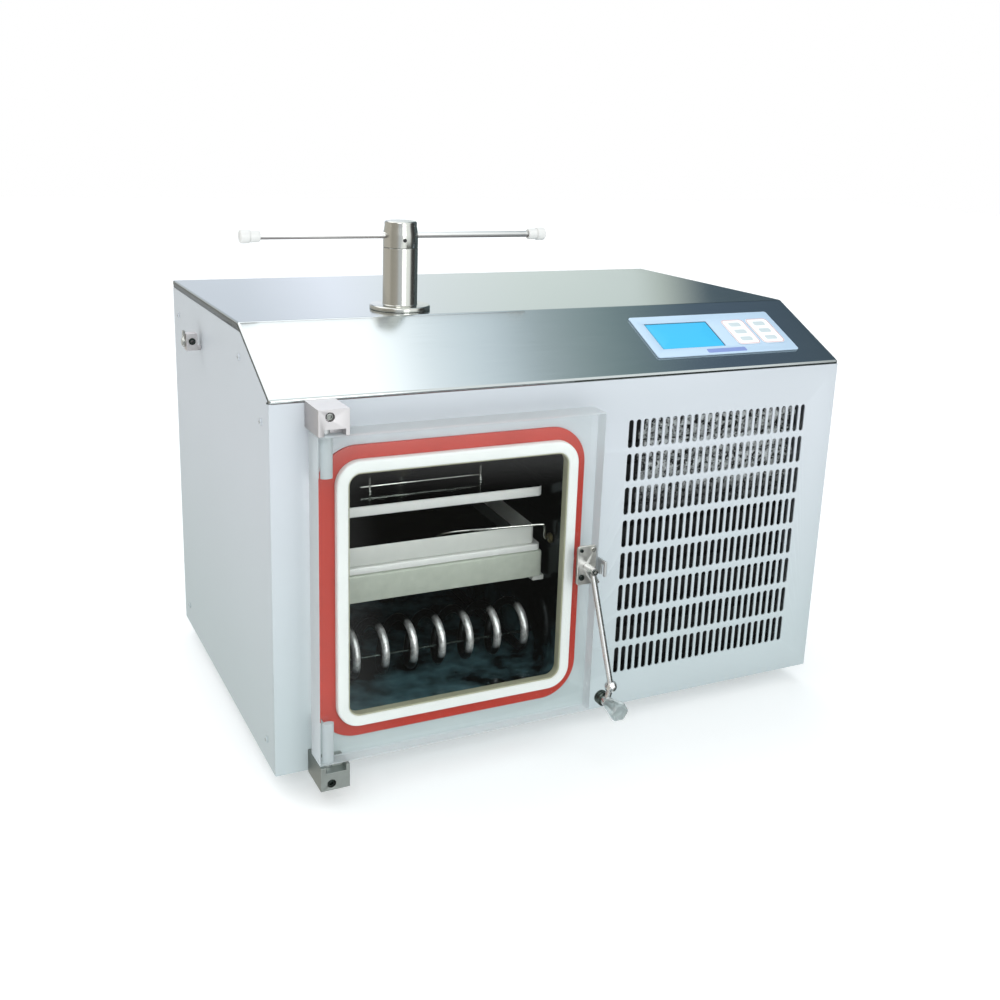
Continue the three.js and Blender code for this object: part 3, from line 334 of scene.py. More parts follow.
def piece(name, shape, body, finish, stands_for=(), crease=32):
    """A new piece: its points put in the frame's metres, doubles merged, and its faces
    turned outwards."""
    points, faces = shape
    mesh = bpy.data.meshes.new(name)
    mesh.from_pydata((CORNER + points * MM).tolist(), [], faces)
    work = bmesh.new()
    work.from_mesh(mesh)
    bmesh.ops.remove_doubles(work, verts=work.verts, dist=4e-6)
    bmesh.ops.recalc_face_normals(work, faces=work.faces)
    work.to_mesh(mesh)
    work.free()
    shaded(mesh, crease)
    return enrol(bpy.data.objects.new(name, mesh), body, finish, stands_for)


def softened(node, name, body, finish, width=0.6, crease=32):
    """A machined or folded node with its sharp edges broken: a copy of its solid with
    shared corners merged and flat faces rejoined, finished by a bevel of that width."""
    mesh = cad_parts[node].data.copy()
    mesh.name = name
    work = bmesh.new()
    work.from_mesh(mesh)
    bmesh.ops.remove_doubles(work, verts=work.verts, dist=4e-6)
    bmesh.ops.dissolve_limit(work, angle_limit=math.radians(0.5), verts=work.verts,
        edges=work.edges)
    work.to_mesh(mesh)
    work.free()
    obj = bpy.data.objects.new(name, mesh)
    bevel = obj.modifiers.new("broken edges", "BEVEL")
    bevel.width = width * MM
    bevel.segments = 2
    bevel.limit_method = "ANGLE"
    bevel.angle_limit = math.radians(40)
    shaded(mesh, crease)
    return enrol(obj, body, finish, (node,))


def two_toned(obj, finish, chosen):
    """Gives some faces a second finish: those that chosen picks, from the faces' normals
    and their middles in millimetres from the casing's corner."""
    mesh = obj.data
    count = len(mesh.polygons)
    normal, middle = np.empty(count * 3), np.empty(count * 3)
    mesh.polygons.foreach_get("normal", normal)
    mesh.polygons.foreach_get("center", middle)
    middle = (middle.reshape(-1, 3) - CORNER) / MM
    mesh.materials.append(Finishes.get(finish))
    picked = chosen(normal.reshape(-1, 3), middle)
    mesh.polygons.foreach_set("material_index", picked.astype(np.int32))


# Materials ------------------------------------------------------------------------


def linear(code, alpha=1.0):
    """An sRGB hex colour as linear light: each share s becomes s / 12.92 below 0.04045
    and ((s + 0.055) / 1.055) ** 2.4 above it."""
    share = np.array([int(code[i : i + 2], 16) for i in (1, 3, 5)]) / 255
    bent = ((share + 0.055) / 1.055) ** 2.4
    return (*np.where(share <= 0.04045, share / 12.92, bent).tolist(), alpha)


def lighter(colour, by):
    """A linear colour times a factor, its alpha kept."""
    return (*[min(c * by, 1.0) for c in colour[:3]], 1.0)


def add(tree, kind, values=(), **settings):
    """A node with its own settings and its inputs, each set or linked. A node given as an
    input stands for its first live output."""
    node = tree.nodes.new("ShaderNode" + kind)
    for key, value in settings.items():
        setattr(node, key, value)
    for key, value in dict(values).items():
        if isinstance(value, bpy.types.Node):
            value = next(socket for socket in value.outputs if socket.enabled)
        if isinstance(value, bpy.types.NodeSocket):
            tree.links.new(value, node.inputs[key])
        else:
            node.inputs[key].default_value = value
    return node


def begun(name):
    """A new material, its tree, and Object coordinates in metres."""
    material = bpy.data.materials.new(name)
    material.use_nodes = True
    tree = material.node_tree
    tree.nodes.clear()
    return material, tree, add(tree, "TexCoord").outputs["Object"]


def per(size):
    """Texture scale that gives features of a size in millimetres."""
    return 1 / (size * MM)


def powder_coat(name, tone):
    """Polyester powder coat, sprayed and baked: an even colour whose semi-gloss skin has
    the slight dimpling of orange peel, 2 mm across, and faint broad unevenness. It darkens
    towards the foot by height alone: painted shade, kept in any light."""
    material, tree, place = begun(name)
    broad = add(tree, "TexNoise", {"Vector": place, "Scale": per(210), "Detail": 2.0})
    peel = add(tree, "TexNoise", {"Vector": place, "Scale": per(2.0), "Detail": 1.0})
    colour = add(tree, "Mix", {0: broad, 6: lighter(tone, 0.955), 7: lighter(tone, 1.03)},
        data_type="RGBA")
    height = add(tree, "SeparateXYZ", {"Vector": place})
    # Painted shade: the colour is multiplied darker towards the foot, by height alone
    foot = add(tree, "MapRange", {"Value": height.outputs[2], "From Min": CORNER[2] + 330 * MM,
        "From Max": CORNER[2] + 60 * MM})
    colour = add(tree, "Mix", {0: foot, 6: colour, 7: (0.84, 0.9, 0.87, 1)}, data_type="RGBA",
        blend_type="MULTIPLY")
    gloss = add(tree, "MapRange", {"Value": broad, "To Min": 0.36, "To Max": 0.46})
    bump = add(tree, "Bump", {"Height": peel, "Strength": 0.16, "Distance": 0.06 * MM})
    shader = add(tree, "BsdfPrincipled", {"Base Color": colour, "Roughness": gloss, "Normal": bump,
        "IOR": 1.5})
    add(tree, "OutputMaterial", {"Surface": shader})
    return material


def grained_steel(name, tone, grain, stretch, gloss, depth=0.02, soil_and_sheen=0.12):
    """Stainless steel with a ground grain: long scratches whose width is the grain and
    whose run follows the stretch, and broad cloudy unevenness."""
    material, tree, place = begun(name)
    mapped = add(tree, "Mapping", {"Vector": place, "Scale": stretch})
    lines = add(tree, "TexNoise", {"Vector": mapped, "Scale": per(grain), "Detail": 3.0,
        "Roughness": 0.6})
    cloud = add(tree, "TexNoise", {"Vector": place, "Scale": per(90), "Detail": 3.0})
    blend = add(tree, "Math", {0: lines, 1: 0.72}, operation="MULTIPLY")
    mixed = add(tree, "Math", {0: cloud, 1: 0.28, 2: blend}, operation="MULTIPLY_ADD")
    colour = add(tree, "Mix", {0: mixed, 6: lighter(tone, 1 - soil_and_sheen), 7: lighter(tone,
        1 + soil_and_sheen / 2)}, data_type="RGBA")
    rough = add(tree, "MapRange", {"Value": mixed, "From Min": 0.3, "From Max": 0.7,
        "To Min": gloss * 0.82, "To Max": gloss * 1.2})
    bump = add(tree, "Bump", {"Height": lines, "Strength": 0.35, "Distance": depth * MM})
    shader = add(tree, "BsdfPrincipled", {"Base Color": colour, "Roughness": rough, "Normal": bump,
        "Metallic": 1.0})
    add(tree, "OutputMaterial", {"Surface": shader})
    return material


def polished_steel(name, tone, gloss=0.16):
    """Drawn stainless rod, buffed: a near mirror dulled by faint smears 25 mm long."""
    material, tree, place = begun(name)
    smear = add(tree, "TexNoise", {"Vector": place, "Scale": per(25), "Detail": 4.0})
    rough = add(tree, "MapRange", {"Value": smear, "To Min": gloss * 0.6, "To Max": gloss * 1.5})
    colour = add(tree, "Mix", {0: smear, 6: lighter(tone, 0.92), 7: lighter(tone, 1.04)},
        data_type="RGBA")
    shader = add(tree, "BsdfPrincipled", {"Base Color": colour, "Roughness": rough,
        "Metallic": 1.0})
    add(tree, "OutputMaterial", {"Surface": shader})
    return material


def matt_sheet(name, tone, spread, gloss=0.55):
    """Dull stainless sheet with marks 9 mm across, whose cause isn't known. It is made 0.4
    metallic, which no real steel is, so that it is lit evenly and not as a mirror."""
    material, tree, place = begun(name)
    marks = add(tree, "TexNoise", {"Vector": place, "Scale": per(9), "Detail": 4.0,
        "Roughness": 0.6})
    colour = add(tree, "Mix", {0: marks, 6: lighter(tone, 1 - spread), 7: lighter(tone,
        1 + spread)}, data_type="RGBA")
    bump = add(tree, "Bump", {"Height": marks, "Strength": 0.2, "Distance": 0.03 * MM})
    shader = add(tree, "BsdfPrincipled", {"Base Color": colour, "Roughness": gloss, "Normal": bump,
        "Metallic": 0.4})
    add(tree, "OutputMaterial", {"Surface": shader})
    return material


def drawn_bar(name, under, tone):
    """Drawn stainless bar, satin: bright above and greyer below. The grey is set by height,
    in place of the darker things a real bar would mirror there."""
    material, tree, place = begun(name)
    low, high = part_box("press_bar")
    height = add(tree, "SeparateXYZ", {"Vector": place})
    upper = add(tree, "MapRange", {"Value": height.outputs[2],
        "From Min": low[2] + 0.15 * (high[2] - low[2]),
        "From Max": low[2] + 0.6 * (high[2] - low[2])})
    colour = add(tree, "Mix", {0: upper, 6: under, 7: tone}, data_type="RGBA")
    smear = add(tree, "TexNoise", {"Vector": place, "Scale": per(25), "Detail": 4.0})
    rough = add(tree, "MapRange", {"Value": smear, "To Min": 0.3, "To Max": 0.5})
    shader = add(tree, "BsdfPrincipled", {"Base Color": colour, "Roughness": rough,
        "Metallic": 1.0})
    add(tree, "OutputMaterial", {"Surface": shader})
    return material


def pale_fronted_tube(name, dark, pale):
    """Stainless tube whose base colour is set near black, a painted reflection of the dark
    chamber, with a grainy pale front to each turn, set by place: a painted highlight.
    Whether rime, polish or light makes it pale isn't known."""
    material, tree, place = begun(name)
    low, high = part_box("cold_coil")
    tube = bpy.context.scene.freeze_dryer.chamber.coil_tube * MM
    radius = (high[2] - low[2]) / 2 - tube
    axis_y, axis_z = low[1] + tube + radius, (low[2] + high[2]) / 2
    axes = add(tree, "SeparateXYZ", {"Vector": place})
    front = add(tree, "MapRange", {"Value": axes.outputs[1], "From Min": axis_y - 0.3 * radius,
        "From Max": axis_y - 0.62 * radius})
    upper = add(tree, "MapRange", {"Value": axes.outputs[2], "From Min": axis_z - 0.6 * radius,
        "From Max": axis_z - 0.3 * radius})
    both = add(tree, "Math", {0: front, 1: upper}, operation="MULTIPLY")
    grain = add(tree, "TexNoise", {"Vector": place, "Scale": per(6), "Detail": 4.0,
        "Roughness": 0.7})
    patchy = add(tree, "MapRange", {"Value": grain, "From Min": 0.3, "From Max": 0.62,
        "To Min": 0.45})
    share = add(tree, "Math", {0: both, 1: patchy}, operation="MULTIPLY")
    colour = add(tree, "Mix", {0: share, 6: dark, 7: pale}, data_type="RGBA")
    rough = add(tree, "MapRange", {"Value": share, "To Min": 0.3, "To Max": 0.42})
    bump = add(tree, "Bump", {"Height": grain, "Strength": 0.4, "Distance": 0.1 * MM})
    shader = add(tree, "BsdfPrincipled", {"Base Color": colour, "Roughness": rough, "Normal": bump,
        "Metallic": 0.8})
    add(tree, "OutputMaterial", {"Surface": shader})
    return material


def blotched_wall(name, tone, blotches):
    """Electropolished stainless whose base colour is set near black, in place of a dark
    closed chamber mirrored in it. Dull blotches 60 mm across, whose cause isn't known, lie
    over its floor and low walls."""
    material, tree, place = begun(name)
    cloud = add(tree, "TexNoise", {"Vector": place, "Scale": per(60), "Detail": 2.0})
    rough = add(tree, "MapRange", {"Value": cloud, "To Min": 0.07, "To Max": 0.14})
    mirror = add(tree, "BsdfPrincipled", {"Base Color": linear(tone), "Roughness": rough,
        "Metallic": 1.0})
    blotch = add(tree, "TexNoise", {"Vector": place, "Scale": per(60), "Detail": 3.0,
        "Roughness": 0.6})
    cover = add(tree, "MapRange", {"Value": blotch, "From Min": 0.42, "From Max": 0.7,
        "To Max": 0.5})
    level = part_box("chamber")[0][2]
    height = add(tree, "SeparateXYZ", {"Vector": place})
    low = add(tree, "MapRange", {"Value": height.outputs[2], "From Min": level + 0.075,
        "From Max": level + 0.025})
    share = add(tree, "Math", {0: cover, 1: low}, operation="MULTIPLY")
    dull = add(tree, "BsdfPrincipled", {"Base Color": linear(blotches), "Roughness": 0.5})
    shader = add(tree, "MixShader", {0: share, 1: mirror, 2: dull})
    add(tree, "OutputMaterial", {"Surface": shader})
    return material


def finned_core(name, shade, specks):
    """A cooler's aluminium fins, 4 mm apart, seen end on: dark between them, and set near black
    as painted shade inside the casing. Pale specks lie along the top from 40 mm in. They are
    set by place, and what they are isn't known."""
    material, tree, place = begun(name)
    speck = add(tree, "TexNoise", {"Vector": place, "Scale": per(7), "Detail": 3.0,
        "Roughness": 0.7})
    pale = add(tree, "MapRange", {"Value": speck, "From Min": 0.42, "From Max": 0.56})
    low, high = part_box("cooler_core")
    axes = add(tree, "SeparateXYZ", {"Vector": place})
    top = add(tree, "MapRange", {"Value": axes.outputs[2], "From Min": high[2] - 0.13,
        "From Max": high[2] - 0.085})
    inward = add(tree, "MapRange", {"Value": axes.outputs[0], "From Min": low[0] + 0.040,
        "From Max": low[0] + 0.043})
    share = add(tree, "Math", {0: pale, 1: top}, operation="MULTIPLY")
    share = add(tree, "Math", {0: share, 1: inward}, operation="MULTIPLY")
    colour = add(tree, "Mix", {0: share, 6: shade, 7: specks}, data_type="RGBA")
    fins = add(tree, "TexWave", {"Vector": place, "Scale": per(4) / 20})
    bump = add(tree, "Bump", {"Height": fins.outputs["Fac"], "Strength": 0.5,
        "Distance": 0.5 * MM})
    shader = add(tree, "BsdfPrincipled", {"Base Color": colour, "Roughness": 0.7, "Normal": bump})
    add(tree, "OutputMaterial", {"Surface": shader})
    return material


def cast_acrylic(name, tint, gloss=0.03, haze=None, share=0.0):
    """Cast acrylic, polished: clear, bending light at 1.49, with a faint tint that gathers
    in its thickness. Haze is a share of plain scattering at the surface. Lamps shine
    through it, as they do through the real sheet."""
    material, tree, place = begun(name)
    wipe = add(tree, "TexNoise", {"Vector": place, "Scale": per(60), "Detail": 3.0})
    rough = add(tree, "MapRange", {"Value": wipe, "To Min": gloss * 0.3, "To Max": gloss * 1.1})
    shader = add(tree, "BsdfPrincipled", {"Base Color": tint, "Roughness": rough, "IOR": 1.49,
        "Transmission Weight": 1.0})
    if haze:
        front = add(tree, "BsdfDiffuse", {"Color": haze})
        through = add(tree, "BsdfTranslucent", {"Color": haze})
        dull = add(tree, "MixShader", {0: 0.5, 1: front, 2: through})
        shader = add(tree, "MixShader", {0: share, 1: shader, 2: dull})
    clear = add(tree, "BsdfTransparent", {"Color": lighter(tint, 0.98)})
    path = add(tree, "LightPath")
    mixed = add(tree, "MixShader", {0: path.outputs["Is Shadow Ray"], 1: shader, 2: clear})
    add(tree, "OutputMaterial", {"Surface": mixed})
    return material


def moulded(name, tone, gloss=0.45, texture=0.5, depth=0.02, spread=0.05, sheen=0.0):
    """A moulded plastic or rubber: an even colour with a fine spark-eroded texture."""
    material, tree, place = begun(name)
    fine = add(tree, "TexNoise", {"Vector": place, "Scale": per(texture), "Detail": 2.0})
    broad = add(tree, "TexNoise", {"Vector": place, "Scale": per(45), "Detail": 3.0})
    colour = add(tree, "Mix", {0: broad, 6: lighter(tone, 1 - spread), 7: lighter(tone,
        1 + spread)}, data_type="RGBA")
    rough = add(tree, "MapRange", {"Value": broad, "To Min": gloss * 0.85, "To Max": gloss * 1.15})
    bump = add(tree, "Bump", {"Height": fine, "Strength": 0.3, "Distance": depth * MM})
    shader = add(tree, "BsdfPrincipled", {"Base Color": colour, "Roughness": rough, "Normal": bump,
        "Sheen Weight": sheen})
    add(tree, "OutputMaterial", {"Surface": shader})
    return material


def lit_display(name, tone, strength):
    """A liquid crystal display lit from its edges: an even cyan field behind smooth glass,
    darker along its left and top edges, which is set by place: a painted shadow of the rim."""
    material, tree, place = begun(name)
    low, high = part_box("display")
    size = high - low
    mapped = add(tree, "Mapping", {"Vector": place,
        "Location": [-low[i] / size[i] for i in range(3)],
        "Scale": [1 / size[i] for i in range(3)]})
    axes = add(tree, "SeparateXYZ", {"Vector": mapped})
    left = add(tree, "MapRange", {"Value": axes.outputs[0], "From Min": 0.0, "From Max": 0.05,
        "To Min": 0.45})
    top = add(tree, "MapRange", {"Value": axes.outputs[1], "From Min": 1.0, "From Max": 0.9,
        "To Min": 0.4})
    shade = add(tree, "Math", {0: left, 1: top}, operation="MINIMUM")
    colour = add(tree, "Mix", {0: shade, 6: lighter(tone, 0.25), 7: tone}, data_type="RGBA")
    shader = add(tree, "BsdfPrincipled", {"Base Color": colour, "Roughness": 0.12,
        "Emission Color": colour, "Emission Strength": strength})
    add(tree, "OutputMaterial", {"Surface": shader})
    return material


class Finishes:
    """The object's materials, each made once when it is first asked for."""

    recipes = {
        "paint": lambda s: powder_coat("powder_coated_steel", tuple(s.casing.paint) + (1,)),
        # Brushed: the grain runs along the width, drawn 1.2 mm wide so that it shows
        "cover": lambda s: grained_steel(
            "brushed_stainless_sheet", linear("#C6CBCB"), 1.2, (0.02, 1, 1), 0.15, 0.01, 0.08
        ),
        # The same sheet at its folded-down sides, in a darker tone: painted shade, for the dark
        # room these sides mirror
        "skirt": lambda s: grained_steel(
            "stainless_skirt_painted_shade", linear("#5F6462"), 1.2, (1, 0.02, 1), 0.3, 0.01
        ),
        # Turned on a lathe and buffed: faint rings across the axis
        "turned": lambda s: grained_steel(
            "turned_stainless", linear("#CFCFC9"), 1.0, (0.1, 0.1, 1.4), 0.19, 0.006, 0.06
        ),
        # Blocks with an even, pale, matt skin; how it was made is a guess
        "ground": lambda s: grained_steel(
            "blasted_stainless_block", linear("#E6E3E4"), 0.9, (1, 0.1, 0.15), 0.55, 0.02
        ),
        # The block below the door: darker, in patches 6 mm across. The darker tone is painted
        # shade, for the dark things it mirrors; what makes the patches isn't known
        "painted_shade_block": lambda s: grained_steel(
            "block_in_painted_shade", linear("#ABB1AD"), 6.0, (1, 0.6, 1), 0.5, 0.03, 0.3
        ),
        # Cold rolled sheet, folded, with a dull even skin
        "folded": lambda s: matt_sheet("cold_rolled_stainless", linear("#D6D8D4"), 0.08),
        "shelf": lambda s: matt_sheet("water_marked_shelf", linear("#B9BFB4"), 0.16),
        "carrier": lambda s: matt_sheet("bright_carrier_sheet", linear("#F0F1EF"), 0.04, 0.45),
        # Flat tops of the plate and the tray: grey, in place of a dark chamber mirrored
        "mirror": lambda s: polished_steel("mirror_rolled_sheet", linear("#7E8482"), 0.1),
        # The chamber's walls: smooth and electropolished, their base colour set dark
        "wall": lambda s: blotched_wall("electropolished_chamber_wall", "#1A2124", "#5E8791"),
        "polished": lambda s: polished_steel("buffed_stainless_rod", linear("#CFCFCA")),
        # Near black with a white front to each turn: painted reflection and painted highlight
        "coil": lambda s: pale_fronted_tube("tube_with_painted_highlight", linear("#121516"), linear("#FFFFFF")),
        # Pins, satin rather than bright
        "satin": lambda s: polished_steel("satin_ground_pin", linear("#DDE0E0"), 0.5),
        "soft": lambda s: drawn_bar("satin_drawn_bar", linear("#9D9494"), linear("#F4F4F2")),
        # The latch's plate, in light and dark patches 5 mm across: painted reflection, for the
        # blotchy room its polished face mirrors. The latch's plate, in patches 5 mm across
        # whose cause isn't known
        "plate": lambda s: grained_steel(
            "latch_plate_painted_reflection", linear("#E4E4DF"), 5.0, (1, 1, 1), 0.34, 0.05, 0.55
        ),
        "chrome": lambda s: polished_steel("chromed_lever", linear("#FCFCFB"), 0.26),
        "dark_steel": lambda s: polished_steel("blackened_steel", linear("#3B4340"), 0.24),
        "screw": lambda s: polished_steel("zinc_plated_screw", linear("#A5A8A4"), 0.28),
        "acrylic": lambda s: cast_acrylic("cast_acrylic", tuple(s.door.tint) + (1,)),
        # The knob's acrylic, clouded
        "milky": lambda s: cast_acrylic(
            "clouded_acrylic", linear("#F2F7F7"), 0.12, linear("#DCE6E6"), 0.3
        ),
        # The door's sides, taken to be sawn: they scatter what falls on them
        "sawn": lambda s: cast_acrylic(
            "sawn_acrylic_edge", linear("#F6FAF9"), 0.15, linear("#E2E8EB"), 0.92
        ),
        # The collar: polished steel set dark, a painted reflection of the dark things it mirrors
        "collar": lambda s: polished_steel("steel_painted_dark_reflection", linear("#59625D"), 0.14),
        "seal": lambda s: moulded(
            "white_silicone", tuple(s.door.seal) + (1,), 0.5, 0.8, 0.02, 0.03
        ),
        # The seal's inner lip, a yellower, darker tone: painted shade and painted reflection on
        # the seal's inner side
        "lip": lambda s: moulded("silicone_lip_painted_shade", linear("#B4B39A"), 0.5, 0.8, 0.02, 0.06),
        "gasket": lambda s: moulded(
            "red_silicone", tuple(s.door.gasket) + (1,), 0.42, 1.2, 0.03, 0.1
        ),
        "rubber": lambda s: moulded("nitrile_rubber", linear("#26272A"), 0.72, 0.6, 0.04),
        "nylon": lambda s: moulded("white_nylon", linear("#E3E3E1"), 0.35, 0.7, 0.01, 0.02),
        "film": lambda s: moulded(
            "printed_polyester_film", tuple(s.console.film) + (1,), 0.42, 0.5, 0.006, 0.02
        ),
        "key": lambda s: moulded("white_keypad_film", linear("#FFFFFF"), 0.4, 0.5, 0.006, 0.01),
        "key_line": lambda s: moulded("printed_key_outline", linear("#C9979E"), 0.5, 0.5, 0.004),
        "key_mark": lambda s: moulded("pale_key_print", linear("#CBD8DC"), 0.5, 0.5, 0.004),
        "bezel": lambda s: moulded("navy_screen_mask", linear("#2C4A66"), 0.4, 0.5, 0.004),
        "strip": lambda s: moulded("lavender_print", linear("#8597CF"), 0.4, 0.5, 0.004),
        "screen": lambda s: lit_display(
            "lit_display", tuple(s.console.screen) + (1,), s.console.glow
        ),
        "black": lambda s: moulded("black_abs", linear("#17181A"), 0.5, 0.8, 0.03),
        "enamel": lambda s: moulded("black_enamel", linear("#141517"), 0.22, 3.0, 0.03),
        "bronze": lambda s: polished_steel("turned_bronze", linear("#6B6448"), 0.36),
        # Near-black fins: painted shade inside the casing
        "fins": lambda s: finned_core(
            "aluminium_fins_painted_shade", linear("#0F1112"), linear("#DDE2E2")
        ),
    }
    made = {}

    @classmethod
    def get(cls, key):
        if key not in cls.made:
            cls.made[key] = cls.recipes[key](bpy.context.scene.freeze_dryer)
        return cls.made[key]


def wears(node, key):
    """Gives a frame node that is shown as it is the finish of that name."""
    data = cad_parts[node].data
    data.materials.clear()
    data.materials.append(Finishes.get(key))


# Settings -------------------------------------------------------------------------


def colour_setting(name, description, code):
    """A colour a user may change, from its hex value."""
    return FloatVectorProperty(name=name, description=description, subtype="COLOR", size=3, min=0,
        max=1, default=linear(code)[:3])


def size_setting(name, description, default):
    """A size a user may change, in millimetres."""
    return FloatProperty(name=name, description=description, default=default, min=0.01)


class CasingSettings(PropertyGroup):
    paint: colour_setting("Paint", "Colour of the painted panels", "#C8CED4")
    columns: IntProperty(name="Columns", description="Slots across the grille", default=26)
    rows: IntProperty(name="Rows", description="Rows of slots in the grille", default=8)
    slot_width: size_setting("Slot width", "Width of a grille slot, mm", 6.2)
    slot_length: size_setting("Slot length", "Height of a grille slot, mm", 33.5)
    slot_low: size_setting("Lowest slot", "Foot of the lowest row of slots, mm", 43.0)
    edge: size_setting("Edge", "Rounding of the sheet's punched edges, mm", 0.6)
    fold: size_setting("Fold", "Outer radius of the cover's folds, mm", 3.0)
    top_fold: size_setting("Top fold", "Radius where the slope meets the top, mm", 9.0)
    skirt: size_setting("Skirt", "Depth of the cover's side skirt, mm", 8.5)
    rear_lip: size_setting("Rear lip", "Depth of the cover's lip at the back, mm", 10.0)


class ChamberSettings(PropertyGroup):
    corner: size_setting("Corner", "Corner radius of the chamber, mm", 14.0)
    flange: size_setting("Flange", "Width of the mouth's flange, mm", 10.0)
    coil_tube: size_setting("Coil tube", "Radius of the cold coil's tube, mm", 4.5)
    coil_turns: FloatProperty(name="Coil turns", description="Turns of the cold coil", default=6.5)
    coil_pitch: size_setting("Coil pitch", "Step of the coil at each turn, mm", 34.5)
    coil_lean: FloatProperty(name="Coil lean", description="How unevenly a turn steps, as a share",
        default=0.9)


class DoorSettings(PropertyGroup):
    tint: colour_setting("Acrylic", "Tint of the clear door", "#FBFDFC")
    seal: colour_setting("Seal", "Colour of the door seal", "#EFF1F0")
    gasket: colour_setting("Gasket", "Colour of the flat gasket", "#BC3527")
    edge: size_setting("Edge", "Polished edge of the door, mm", 1.6)
    seal_width: size_setting("Seal width", "Width of the door seal, mm", 12.0)
    gasket_corner: size_setting("Gasket corner", "Corner radius of the flat gasket, mm", 42.0)


class PressSettings(PropertyGroup):
    thread: size_setting("Thread", "Pitch of the press screw's thread, mm", 5.0)
    thread_depth: size_setting("Thread depth", "Depth of the thread, mm", 1.2)
    cap_seam: size_setting("Cap seam", "Width of the end caps' groove, mm", 0.8)


class ConsoleSettings(PropertyGroup):
    film: colour_setting("Film", "Colour of the console's printed film", "#BDD5EA")
    screen: colour_setting("Screen", "Colour of the lit display", "#3FABD6")
    glow: FloatProperty(name="Glow", description="Strength of the display's own light",
        default=0.35)


class StageSettings(PropertyGroup):
    floor: colour_setting("Floor", "Colour of the studio floor", "#E6E7E7")
    floor_glow: FloatProperty(name="Floor glow", description="Light given by the floor itself",
        default=0.3)
    light: FloatProperty(name="Light", description="Strength of the studio lamps, as a factor",
        default=1.0)


class DryerSettings(PropertyGroup):
    casing: PointerProperty(type=CasingSettings)
    chamber: PointerProperty(type=ChamberSettings)
    door: PointerProperty(type=DoorSettings)
    press: PointerProperty(type=PressSettings)
    console: PointerProperty(type=ConsoleSettings)
    stage: PointerProperty(type=StageSettings)


class Maker:
    """What every operator of this object shares."""

    bl_options = {"REGISTER", "UNDO"}

    @property
    def settings(self):
        return bpy.context.scene.freeze_dryer


# Casing ---------------------------------------------------------------------------


class DRYER_OT_front(Maker, Operator):
    """Front panel punched with the grille's slots and the chamber's mouth"""

    bl_idname = "dryer.front"
    bl_label = "Front panel"

    def execute(self, context):
        s = self.settings.casing
        low, high = span("front_panel")
        core_low, core_high = span("cooler_core")
        margin, gauge = 8.0, 2.0
        across = np.linspace(core_low[0] + margin, core_high[0] - margin, s.columns)
        top = core_high[2] - margin - s.slot_length
        up = np.linspace(s.slot_low, top, s.rows)
        slots = [slot_loop(x, z, s.slot_width, s.slot_length) for x in across for z in up]
        mouth_low, mouth_high = span("chamber")
        gap = 0.3
        mouth = rectangles(mouth_high[0] - mouth_low[0] + 2 * gap,
            mouth_high[2] - mouth_low[2] + 2 * gap,
            self.settings.chamber.corner + self.settings.chamber.flange, 8)[0]
        mouth = mouth + centre("chamber")[[0, 2]]
        edge = rectangles(high[0] - low[0], high[2] - low[2], 0.6, 2)[0]
        edge = edge + (low + high)[[0, 2]] / 2
        sheet = placed(punched([edge, mouth, *slots], gauge, s.edge), [0, gauge, 0], RIGHT, UP)
        returns = [placed(slab((gauge, high[2] - low[2]), 0.4, high[1] - gauge / 2, 0.3, 2), [x,
            high[1], high[2] / 2], RIGHT, UP) for x in (gauge / 2, high[0] - gauge / 2)]
        shape = together(sheet, *returns)
        piece("punched_front", shape, "casing", "paint", ["front_panel"])
        for side in ("left", "right", "rear"):
            softened(f"{side}_panel", f"{side}_skin", "casing", "paint", 0.5)
        softened("base_pan", "folded_base", "casing", "paint", 0.5)
        return {"FINISHED"}


